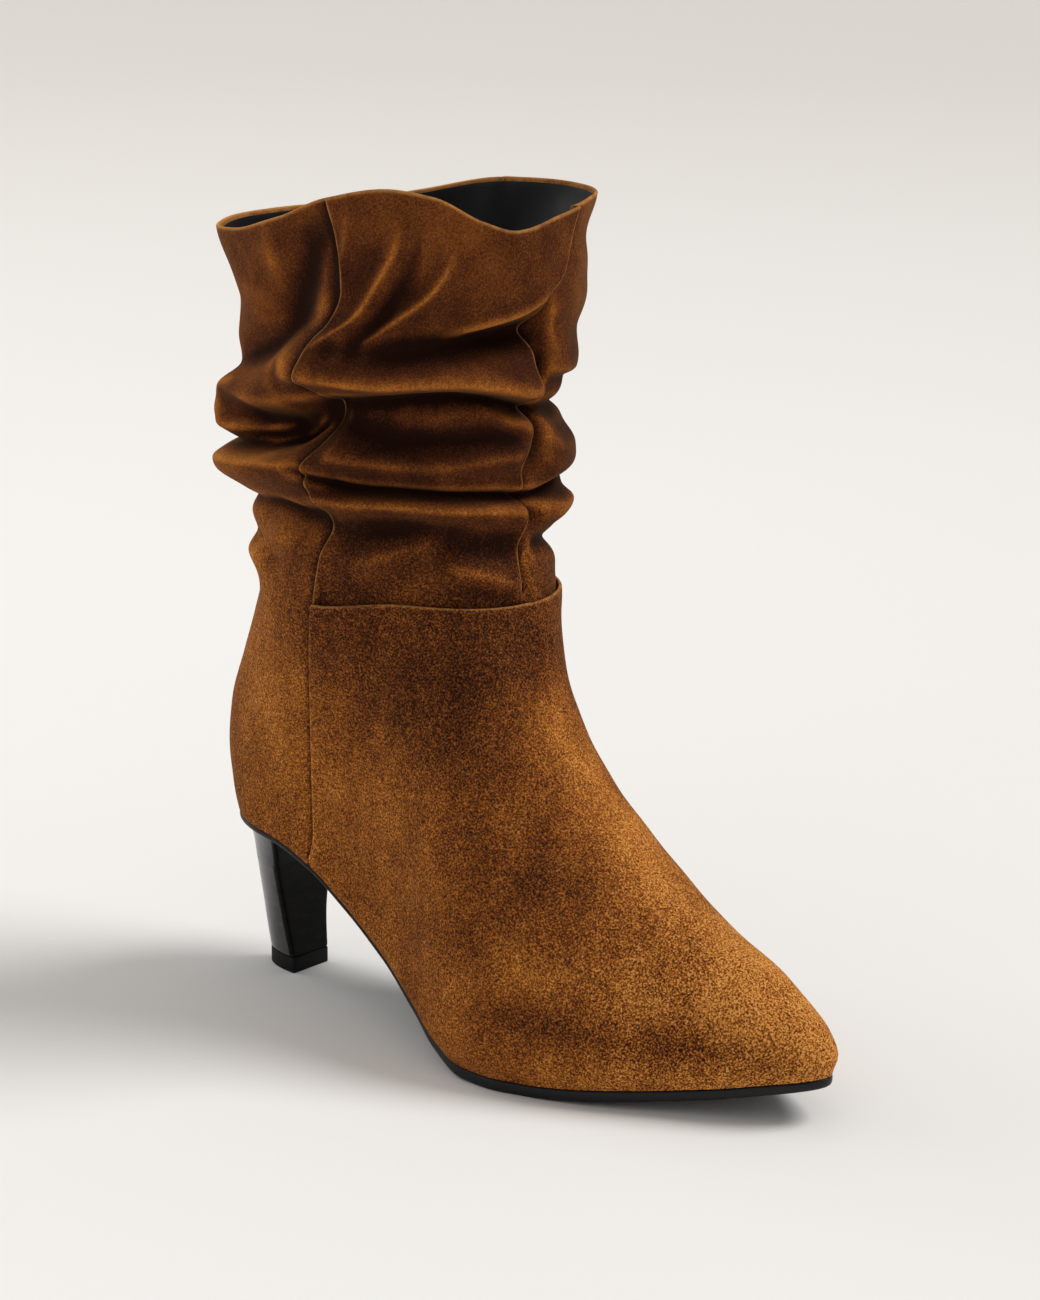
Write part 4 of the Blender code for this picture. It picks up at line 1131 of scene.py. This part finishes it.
def make_lining(material):
    """Smooth lining: follows the suede inside and stays within its folds."""
    normal = soft_normals(plain_grid)
    shove = ((suede_grid - plain_grid) * normal).sum(-1)
    last = len(shove) - 1

    # The least shove around each point, so that the lining bridges the ridges
    least = shove.copy()
    for reach in (3, 6, 9, 12):
        for move in (-reach, reach):
            least = np.minimum(least, shove[np.clip(np.arange(last + 1) + move, 0, last)])
    for reach in (2, 4, 6):
        least = np.minimum(least, np.minimum(np.roll(least, reach, 1), np.roll(least, -reach, 1)))
    least = soften_values(least, 12)

    # At the collar it follows the suede, but not into its seams
    even = shove.copy()
    for reach in (1, 2, 3, 4, 5, 6):
        even = (np.roll(even, reach, 1) + even + np.roll(even, -reach, 1)) / 3
    follow = soften_values(np.minimum(shove, even), 4)
    near_collar = fade(row_numbers(shove), last + 1 - LINING_COLLAR_ROWS, last)
    depth = near_collar * (follow - LINING_AT_COLLAR * MM)
    depth = depth + (1 - near_collar) * (np.minimum(least, 0) - LINING_BELOW * MM)
    for turn_at in seam_places:
        beside = np.exp(-(from_seam(turn_at) / LINING_SEAM_COLUMNS) ** 2)
        depth = depth - LINING_AT_SEAMS * MM * beside
    inner = plain_grid + depth[..., None] * normal

    # Every second row and even column is enough for it
    even_columns = np.where(np.abs(fine_at * FINE_COLUMNS % 1 - 0.5) > 0.49)[0][::2]
    inner = inner[::2, even_columns]
    inner[-1, :, 2] = suede_grid[-1, even_columns, 2] - LINING_EDGE * MM
    inner = soften(inner, 3)
    rows, columns = inner.shape[:2]
    faces = quads(rows, columns, True, flip=True)
    return new_object("lining", inner, faces, material)


def sole_ring(count, inset):
    """Closed outline of the sole, inset evenly, from the back over the outer side."""
    half = count // 2
    ring = np.concatenate([edge_line(half + 1, -1), edge_line(half + 1, 1)[-2:0:-1]])
    along_ring = np.roll(ring, -1, axis=0) - np.roll(ring, 1, axis=0)
    return ring + inset * unit(np.stack([-along_ring[:, 1], along_ring[:, 0]], 1))


def rungs(first, count, flip):
    """Faces that fill a closed ring by rungs from one side to the other."""
    half = count // 2
    faces = [(first, first + 1, first + count - 1)]
    for i in range(1, half - 1):
        faces.append((first + i, first + i + 1, first + count - i - 1, first + count - i))
    faces.append((first + half - 1, first + half, first + half + 1))
    return [f[::-1] for f in faces] if flip else faces


# Section of the outsole's edge from top to bottom: inset in mm and share of its thickness
SOLE_PROFILE = (
    (3.0, 0.0), (0.55, 0.0), (0.25, 0.03), (0.05, 0.10), (0.0, 0.22), (0.0, 0.45),
    (0.1, 0.70), (0.3, 0.86), (0.65, 0.96), (1.1, 1.0), (4.0, 1.0),
)
SOLE_POINTS = 360
SOLE_SHARP = 50


def make_outsole(material):
    """Thin outsole with a feather line at its top and a rounded lower edge."""
    outline = sole_ring(SOLE_POINTS, 0.0)
    high = sole_top(outline[:, 0])
    thick = high - sole_bottom(outline[:, 0])
    rings = []
    for inset, drop in SOLE_PROFILE:
        rings.append(np.column_stack([sole_ring(SOLE_POINTS, inset * MM), high - drop * thick]))
    faces = quads(len(rings), SOLE_POINTS, True, flip=True)
    faces += rungs(0, SOLE_POINTS, True)
    faces += rungs((len(rings) - 1) * SOLE_POINTS, SOLE_POINTS, False)
    obj = new_object("outsole_fine", np.concatenate(rings), faces, material)
    obj.data.set_sharp_from_angle(angle=math.radians(SOLE_SHARP))
    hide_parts("outsole")


# Heel and top lift: points of their round back, of each corner and of the flat front, radius of
# the corners in mm, and the angle from which their edges look sharp
BACK_POINTS = 80
CORNER_POINTS = 7
FLAT_POINTS = 14
HEEL_CORNER = 0.9
TIP_CORNER = 0.8
HEEL_SHARP = 40

# Rounded foot of the heel: share of its height and inset in mm, then even steps up to its seat,
# its small gaps to the top lift and the outsole, and the depth of its dull flat front, in mm
HEEL_FOOT = ((0.0, 0.35), (0.004, 0.1), (0.012, 0.0))
HEEL_STEPS = 46
HEEL_OVER_TIP = 0.15
HEEL_UNDER_SOLE = 0.02
BREAST_DEPTH = 2.2

# Section of the top lift in mm: inset and height above the floor, then inset and depth under its top
TIP_PROFILE = ((0.35, 0.0), (0.1, 0.12), (0.0, 0.4))
TIP_TOP_PROFILE = ((0.0, 0.3), (0.15, 0.05), (0.5, 0.0))


def heel_ring(front, length, width, corner, inset):
    """Outline of the heel with a flat front, round corners there and a round back."""
    front = front - inset
    length = length - 2 * inset
    width = width - 2 * inset
    turn = np.linspace(-math.pi / 2, math.pi / 2, BACK_POINTS)
    back = np.stack([front - length * np.cos(turn), HEEL_SIDE_SHIFT + width / 2 * np.sin(turn)], 1)
    back[[0, -1], 0] = front - corner
    back = back[back[:, 0] <= front - corner + 1e-9]
    back = along(back, np.linspace(0, 1, BACK_POINTS))
    sweep = np.linspace(0, math.pi / 2, CORNER_POINTS)[1:]
    corner_x = front - corner + corner * np.sin(sweep)
    corner_y = width / 2 - corner + corner * np.cos(sweep)
    inner = np.stack([corner_x, HEEL_SIDE_SHIFT + corner_y], 1)
    outer = np.stack([corner_x, HEEL_SIDE_SHIFT - corner_y], 1)[::-1]
    flat_y = np.linspace(inner[-1, 1], outer[0, 1], FLAT_POINTS)[1:-1]
    flat = np.stack([np.full(len(flat_y), front), flat_y], 1)
    return np.concatenate([back, inner, flat, outer])


def solid_of_rings(name, rings, material):
    """Solid from rings of points one over the other, closed at its foot and top."""
    count = len(rings[0])
    last = (len(rings) - 1) * count
    faces = quads(len(rings), count, True)
    faces.append(tuple(range(count))[::-1])
    faces.append(tuple(range(last, last + count)))
    obj = new_object(name, np.concatenate(rings), faces, material)
    edit_mesh(obj, turn_outward)
    obj.data.set_sharp_from_angle(angle=math.radians(HEEL_SHARP))
    return obj


def make_heel(material):
    """Slim heel, its seat following the sole."""
    foot = HEEL_TIP_HEIGHT + HEEL_OVER_TIP * MM
    levels = HEEL_FOOT + tuple((step, 0.0) for step in np.linspace(0.03, 1.0, HEEL_STEPS))
    rings = []
    for level, inset in levels:
        share = {name: smooth(HEEL["height"], HEEL[name], level) for name in ("front", "long", "wide")}
        front = HEEL_FRONT_STATION * LENGTH - HEEL_TIP_LENGTH * share["front"]
        length = HEEL_TIP_LENGTH + (HEEL_TOP_LENGTH - HEEL_TIP_LENGTH) * share["long"]
        width = HEEL_TIP_WIDTH + (HEEL_TOP_WIDTH - HEEL_TIP_WIDTH) * share["wide"]
        ring = heel_ring(front, length, width, HEEL_CORNER * MM, inset * MM)
        seat = sole_bottom(ring[:, 0]) - HEEL_UNDER_SOLE * MM
        rings.append(np.column_stack([ring, foot + level * (seat - foot)]))
    obj = solid_of_rings("heel_cover", rings, material)
    breast = np.concatenate([ring[:, 0] > ring[:, 0].max() - BREAST_DEPTH * MM for ring in rings])
    set_values(obj, side=1.0 - breast)
    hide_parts("heel")


def make_tip(material):
    """Top lift under the heel, with softly rounded edges."""
    top_profile = tuple((inset, HEEL_TIP_HEIGHT / MM - under) for inset, under in TIP_TOP_PROFILE)
    rings = []
    for inset, high in TIP_PROFILE + top_profile:
        front = HEEL_FRONT_STATION * LENGTH
        ring = heel_ring(front, HEEL_TIP_LENGTH, HEEL_TIP_WIDTH, TIP_CORNER * MM, inset * MM)
        rings.append(np.column_stack([ring, np.full(len(ring), high * MM)]))
    obj = solid_of_rings("top_lift", rings, material)
    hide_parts("heel_tip")


# Sockets of the mix node that belong to its colours
MIX_A = 6
MIX_B = 7
MIX_RESULT = 2


class Nodes:
    """Short way to build a material's nodes."""

    def __init__(self, name):
        self.material = bpy.data.materials.new(name)
        self.material.use_nodes = True
        self.tree = self.material.node_tree
        self.shader = self.tree.nodes["Principled BSDF"]

    def put(self, socket, value):
        """Give a socket a plain value, or link another node's output to it."""
        if isinstance(value, bpy.types.NodeSocket):
            self.tree.links.new(value, socket)
        else:
            socket.default_value = value

    def set(self, name, value):
        """Give an input of the shader its value."""
        self.put(self.shader.inputs[name], value)

    def add(self, kind, output, inputs, **settings):
        """Add a node with its settings and inputs, and give back one of its outputs."""
        node = self.tree.nodes.new("ShaderNode" + kind)
        for name, value in settings.items():
            setattr(node, name, value)
        for name, value in inputs.items():
            self.put(node.inputs[name], value)
        return node.outputs[output]

    def math(self, kind, a, b, clamp=False):
        return self.add("Math", 0, {0: a, 1: b}, operation=kind, use_clamp=clamp)

    def place(self, stretch=None):
        """Place on the object, stretched where that is given."""
        where = self.add("TexCoord", "Object", {})
        if stretch is None:
            return where
        return self.add("Mapping", "Vector", {"Vector": where, "Scale": stretch})

    def noise(self, where, scale, detail, rough):
        inputs = {"Vector": where, "Scale": scale, "Detail": detail, "Roughness": rough}
        return self.add("TexNoise", "Fac", inputs)

    def spread(self, value, low, high, to_low, to_high):
        """Spread the range from low to high over another one."""
        inputs = {"Value": value, "From Min": low, "From Max": high, "To Min": to_low, "To Max": to_high}
        return self.add("MapRange", "Result", inputs, clamp=True)

    def mix(self, factor, a, b):
        inputs = {"Factor": factor, MIX_A: a, MIX_B: b}
        return self.add("Mix", MIX_RESULT, inputs, data_type="RGBA")

    def attribute(self, name):
        """A number stored on the vertices."""
        return self.add("Attribute", "Fac", {}, attribute_name=name)

    def bump(self, height, strength, distance, under=None):
        inputs = {"Height": height, "Strength": strength, "Distance": distance}
        if under is not None:
            inputs["Normal"] = under
        return self.add("Bump", "Normal", inputs)

    def ramp(self, value, stops):
        """Colours between the stops, each a place and a colour."""
        color = self.add("ValToRGB", "Color", {"Fac": value})
        elements = color.node.color_ramp.elements
        while len(elements) < len(stops):
            elements.new(0.5)
        for element, (at, stop_color) in zip(elements, stops):
            element.position = at
            element.color = (*stop_color, 1)
        return color


# Suede's tone, from 0 in the dark to 1 in the light: its middle, how far each noise swings it,
# and how far the values stored on the vertices move it, which carry painted highlight on the crests,
# painted light and shade with the nap, and painted shade in the creases
MIDDLE_TONE = 0.50
BLOTCH_SWING = 0.06
BRUSHED_SWING = 0.08
CLUSTER_SWING = 0.06
SPECK_SWING = 0.32
CREST_SHARE = 0.38
NAP_AND_LIGHT_SHARE = 0.16
SHADING_SHARE = 0.42
SUEDE_COLORS = (
    (0.00, (0.018, 0.0055, 0.0028)),
    (0.25, (0.078, 0.0215, 0.0066)),
    (0.50, (0.213, 0.065, 0.0125)),
    (0.75, (0.450, 0.155, 0.026)),
    (1.00, (0.720, 0.330, 0.080)),
)
# Light colour of worn edges, partly painted highlight
WORN_AND_HIGHLIGHT_COLOR = (0.50, 0.26, 0.09, 1)
SHEEN_COLOR = (1.0, 0.55, 0.20, 1)


def suede_material():
    """Cognac suede: brushed blotches, nap speckle, painted shade in the folds and light worn edges
    with painted highlight.
    """
    n = Nodes("suede_nap")
    where = n.place()
    blotch = n.noise(where, scale=24, detail=2, rough=0.5)
    brushed = n.noise(n.place((1, 1, 0.6)), scale=95, detail=3, rough=0.6)
    cluster = n.noise(where, scale=520, detail=2, rough=0.6)
    speck = n.noise(where, scale=1600, detail=2, rough=0.7)
    fibre = n.noise(where, scale=2600, detail=1, rough=0.6)
    patchy = n.noise(where, scale=260, detail=2, rough=0.6)
    tone = n.math("ADD", n.spread(blotch, 0.32, 0.68, -BLOTCH_SWING, BLOTCH_SWING), MIDDLE_TONE)
    tone = n.math("ADD", tone, n.spread(brushed, 0.30, 0.70, -BRUSHED_SWING, BRUSHED_SWING))
    coarse_speckle = n.spread(cluster, 0.30, 0.70, -CLUSTER_SWING, CLUSTER_SWING)
    fine_speckle = n.spread(speck, 0.34, 0.66, -SPECK_SWING, SPECK_SWING)
    speckle = n.math("ADD", coarse_speckle, fine_speckle)
    tone = n.math("ADD", tone, n.math("MULTIPLY", speckle, n.attribute("grain")))
    # Painted highlight on the crests, painted light and shade with the nap, painted shade in the folds
    tone = n.math("ADD", tone, n.math("MULTIPLY", n.attribute("crest"), CREST_SHARE))
    tone = n.math("ADD", tone, n.math("MULTIPLY", n.attribute("nap"), NAP_AND_LIGHT_SHARE))
    tone = n.math("ADD", tone, n.math("MULTIPLY", n.attribute("fold"), SHADING_SHARE), clamp=True)
    # Worn edges take a light colour, partly painted highlight
    worn = n.math("MULTIPLY", n.attribute("worn"), n.spread(patchy, 0.35, 0.60, 0.25, 0.80))
    n.set("Base Color", n.mix(worn, n.ramp(tone, SUEDE_COLORS), WORN_AND_HIGHLIGHT_COLOR))
    n.set("Roughness", n.spread(speck, 0.3, 0.7, 0.82, 0.98))
    n.set("Specular IOR Level", 0.06)
    n.set("Sheen Weight", 0.09)
    n.set("Sheen Roughness", 0.35)
    n.set("Sheen Tint", SHEEN_COLOR)
    brushed_bump = n.bump(brushed, strength=0.25, distance=0.6 * MM)
    speck_bump = n.bump(speck, strength=0.60, distance=0.40 * MM, under=brushed_bump)
    n.set("Normal", n.bump(fibre, strength=0.35, distance=0.15 * MM, under=speck_bump))
    return n.material


# Black materials: colour, roughness, shine, and the scale of the grain with its depth in mm
BLACKS = {
    "lining_leather": ((0.004, 0.004, 0.006), 0.50, 0.12, 900, 0.08),
    "sole_black": ((0.006, 0.006, 0.008), 0.45, 0.25, 500, 0.05),
    "lift_rubber": ((0.008, 0.008, 0.009), 0.60, 0.10, 700, 0.06),
}


def black_material(name):
    """Smooth dark leather or moulded black, with fine grain and faint uneven gloss."""
    color, rough, shine, grain_scale, grain_depth = BLACKS[name]
    n = Nodes(name)
    where = n.place()
    cloud = n.noise(where, scale=60, detail=3, rough=0.5)
    grain = n.noise(where, scale=grain_scale, detail=3, rough=0.55)
    dark = tuple(0.7 * c for c in color)
    light = tuple(1.5 * c for c in color)
    n.set("Base Color", n.ramp(cloud, ((0.3, dark), (0.7, light))))
    n.set("Roughness", n.spread(cloud, 0.3, 0.7, rough * 0.85, rough * 1.15))
    n.set("Specular IOR Level", shine)
    n.set("Normal", n.bump(grain, strength=0.3, distance=grain_depth * MM))
    return n.material


HEEL_COLORS = ((0.3, (0.003, 0.003, 0.003)), (0.7, (0.008, 0.008, 0.008)))


def heel_material():
    """Black gloss heel: bright on its rounded sides, dull on the flat front."""
    n = Nodes("heel_black")
    cloud = n.noise(n.place((1, 1, 3.5)), scale=150, detail=3, rough=0.6)
    grain = n.noise(n.place(), scale=600, detail=2, rough=0.5)
    n.set("Base Color", n.ramp(cloud, HEEL_COLORS))
    sides = n.math("MULTIPLY", n.attribute("side"), n.spread(cloud, 0.3, 0.7, 0.55, 1.0))
    n.set("Specular IOR Level", n.math("ADD", sides, 0.05))
    n.set("Roughness", n.spread(cloud, 0.3, 0.7, 0.14, 0.30))
    n.set("Normal", n.bump(grain, strength=0.2, distance=0.03 * MM))
    return n.material


FLOOR_COLORS = ((0.3, (0.861, 0.857, 0.849)), (0.7, (0.876, 0.873, 0.865)))
# Painted shade that darkens the floor far away
FLOOR_FAR_COLOR = (0.708, 0.679, 0.656, 1)


def floor_material():
    """Plain studio floor, with painted shade that makes it a little darker far away."""
    n = Nodes("studio_floor")
    cloud = n.noise(n.place(), scale=1.5, detail=3, rough=0.5)
    n.set("Base Color", n.mix(n.attribute("far"), n.ramp(cloud, FLOOR_COLORS), FLOOR_FAR_COLOR))
    n.set("Roughness", 0.9)
    n.set("Specular IOR Level", 0.1)
    return n.material


# The floor's rings in metres, the round in which it turns up at its end, and where its painted
# shade makes it darker
FLOOR_REACH = 9.0
FLOOR_RINGS = (0.3, 0.6, 0.9, 1.3, 1.8, 2.5, 4.0, FLOOR_REACH)
FLOOR_SPOKES = 64
WALL_ROUND = 5.0
WALL_STEPS = 10
FLOOR_DARKENS = (0.3, 2.7)


def make_stage():
    """Wide plain floor that turns up gently far away on every side."""
    profile = [(reach, 0.0) for reach in FLOOR_RINGS]
    for step in range(1, WALL_STEPS + 1):
        turn = math.pi / 2 * step / WALL_STEPS
        profile.append((FLOOR_REACH + WALL_ROUND * math.sin(turn), WALL_ROUND * (1 - math.cos(turn))))
    turn = np.linspace(0, 2 * math.pi, FLOOR_SPOKES, endpoint=False)
    verts = [(r * math.cos(t), r * math.sin(t), z) for r, z in profile for t in turn]
    faces = [tuple(range(FLOOR_SPOKES))] + quads(len(profile), FLOOR_SPOKES, True, flip=True)
    mesh = bpy.data.meshes.new("floor")
    mesh.from_pydata(verts, [], faces)
    mesh.polygons.foreach_set("use_smooth", [True] * len(mesh.polygons))
    floor = bpy.data.objects.new("floor", mesh)
    floor.data.materials.append(floor_material())
    set_values(floor, far=fade(np.linalg.norm(np.array(verts), axis=1), *FLOOR_DARKENS))
    bpy.context.scene.collection.objects.link(floor)


def add_light(name, kind, power, color, towards, place_at=(0, 0, 0)):
    """Light at a place, that comes from the direction given."""
    data = bpy.data.lights.new(name, kind)
    data.energy = power
    data.color = color
    obj = bpy.data.objects.new(name, data)
    obj.location = place_at
    obj.rotation_euler = Vector(towards).to_track_quat("Z", "Y").to_euler()
    bpy.context.scene.collection.objects.link(obj)
    return data


# The photo's camera, fitted to marks on the boots: place, axes, and focal length in pixels of a
# frame 1300 high. The look is turned to the one boot, and the lens brings it closer.
CAMERA_PLACE = np.array([0.7702, -0.8809, 0.4577])
CAMERA_AHEAD = np.array([-0.6044, 0.7614, -0.2345])
CAMERA_RIGHT = np.array([0.7802, 0.6252, 0.0193])
CAMERA_UP = np.array([-0.1613, 0.1712, 0.9719])
CAMERA_FOCAL = 3000.0
FRAME_SIZE = (1040, 1300)
BOOT_MIDDLE = (382, 758)
CLOSER = 1.28
SENSOR = 36.0


def make_camera():
    """Camera at the photo's place, turned so that the boot stands in the middle."""
    right_by = (BOOT_MIDDLE[0] - FRAME_SIZE[0] / 2) / CAMERA_FOCAL
    up_by = -(BOOT_MIDDLE[1] - FRAME_SIZE[1] / 2) / CAMERA_FOCAL
    ahead = unit(CAMERA_AHEAD + right_by * CAMERA_RIGHT + up_by * CAMERA_UP)
    right = unit(CAMERA_RIGHT - ahead * (CAMERA_RIGHT @ ahead))
    data = bpy.data.cameras.new("camera")
    data.sensor_width = SENSOR
    data.lens = SENSOR * CAMERA_FOCAL * CLOSER / FRAME_SIZE[1]
    data.clip_start = 0.01
    data.clip_end = 50
    obj = bpy.data.objects.new("camera", data)
    matrix = np.eye(4)
    matrix[:3, 0] = right
    matrix[:3, 1] = np.cross(right, ahead)
    matrix[:3, 2] = -ahead
    matrix[:3, 3] = CAMERA_PLACE
    obj.matrix_world = Matrix(matrix.tolist())
    bpy.context.scene.collection.objects.link(obj)
    bpy.context.scene.camera = obj


# Even light from all around, a soft key high on the right, and a weak panel on the left
WORLD_COLOR = (1.0, 0.985, 0.955, 1)
WORLD_POWER = 0.48
KEY_FROM = (0.80, 0.75, 1.45)
KEY_ANGLE = 28
KEY_POWER = 1.9
KEY_COLOR = (1.0, 0.985, 0.96)
PANEL_PLACE = (-2.6, -0.5, 1.5)
PANEL_TARGET = (0, 0, 0.12)
PANEL_SIZE = 1.8
PANEL_POWER = 16
PANEL_COLOR = (1, 0.99, 0.97)


def make_lights():
    """Studio light."""
    world = bpy.data.worlds.new("studio")
    bpy.context.scene.world = world
    world.use_nodes = True
    back = world.node_tree.nodes["Background"]
    back.inputs["Color"].default_value = WORLD_COLOR
    back.inputs["Strength"].default_value = WORLD_POWER
    key = add_light("key", "SUN", KEY_POWER, KEY_COLOR, KEY_FROM)
    key.angle = math.radians(KEY_ANGLE)
    from_target = Vector(PANEL_PLACE) - Vector(PANEL_TARGET)
    panel = add_light("soft_left", "AREA", PANEL_POWER, PANEL_COLOR, from_target, PANEL_PLACE)
    panel.size = PANEL_SIZE


def main():
    """Build the boot's pieces, the stage, the lights and the camera."""
    suede = suede_material()
    lining = black_material("lining_leather")
    for piece in (make_shaft(suede), make_vamp(suede), make_lining(lining)):
        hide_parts("upper")
    make_outsole(black_material("sole_black"))
    make_heel(heel_material())
    make_tip(black_material("lift_rubber"))
    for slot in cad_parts["insole"].material_slots:
        slot.material = lining
    make_stage()
    make_lights()
    make_camera()
    bpy.context.scene.view_settings.view_transform = "Standard"


main()
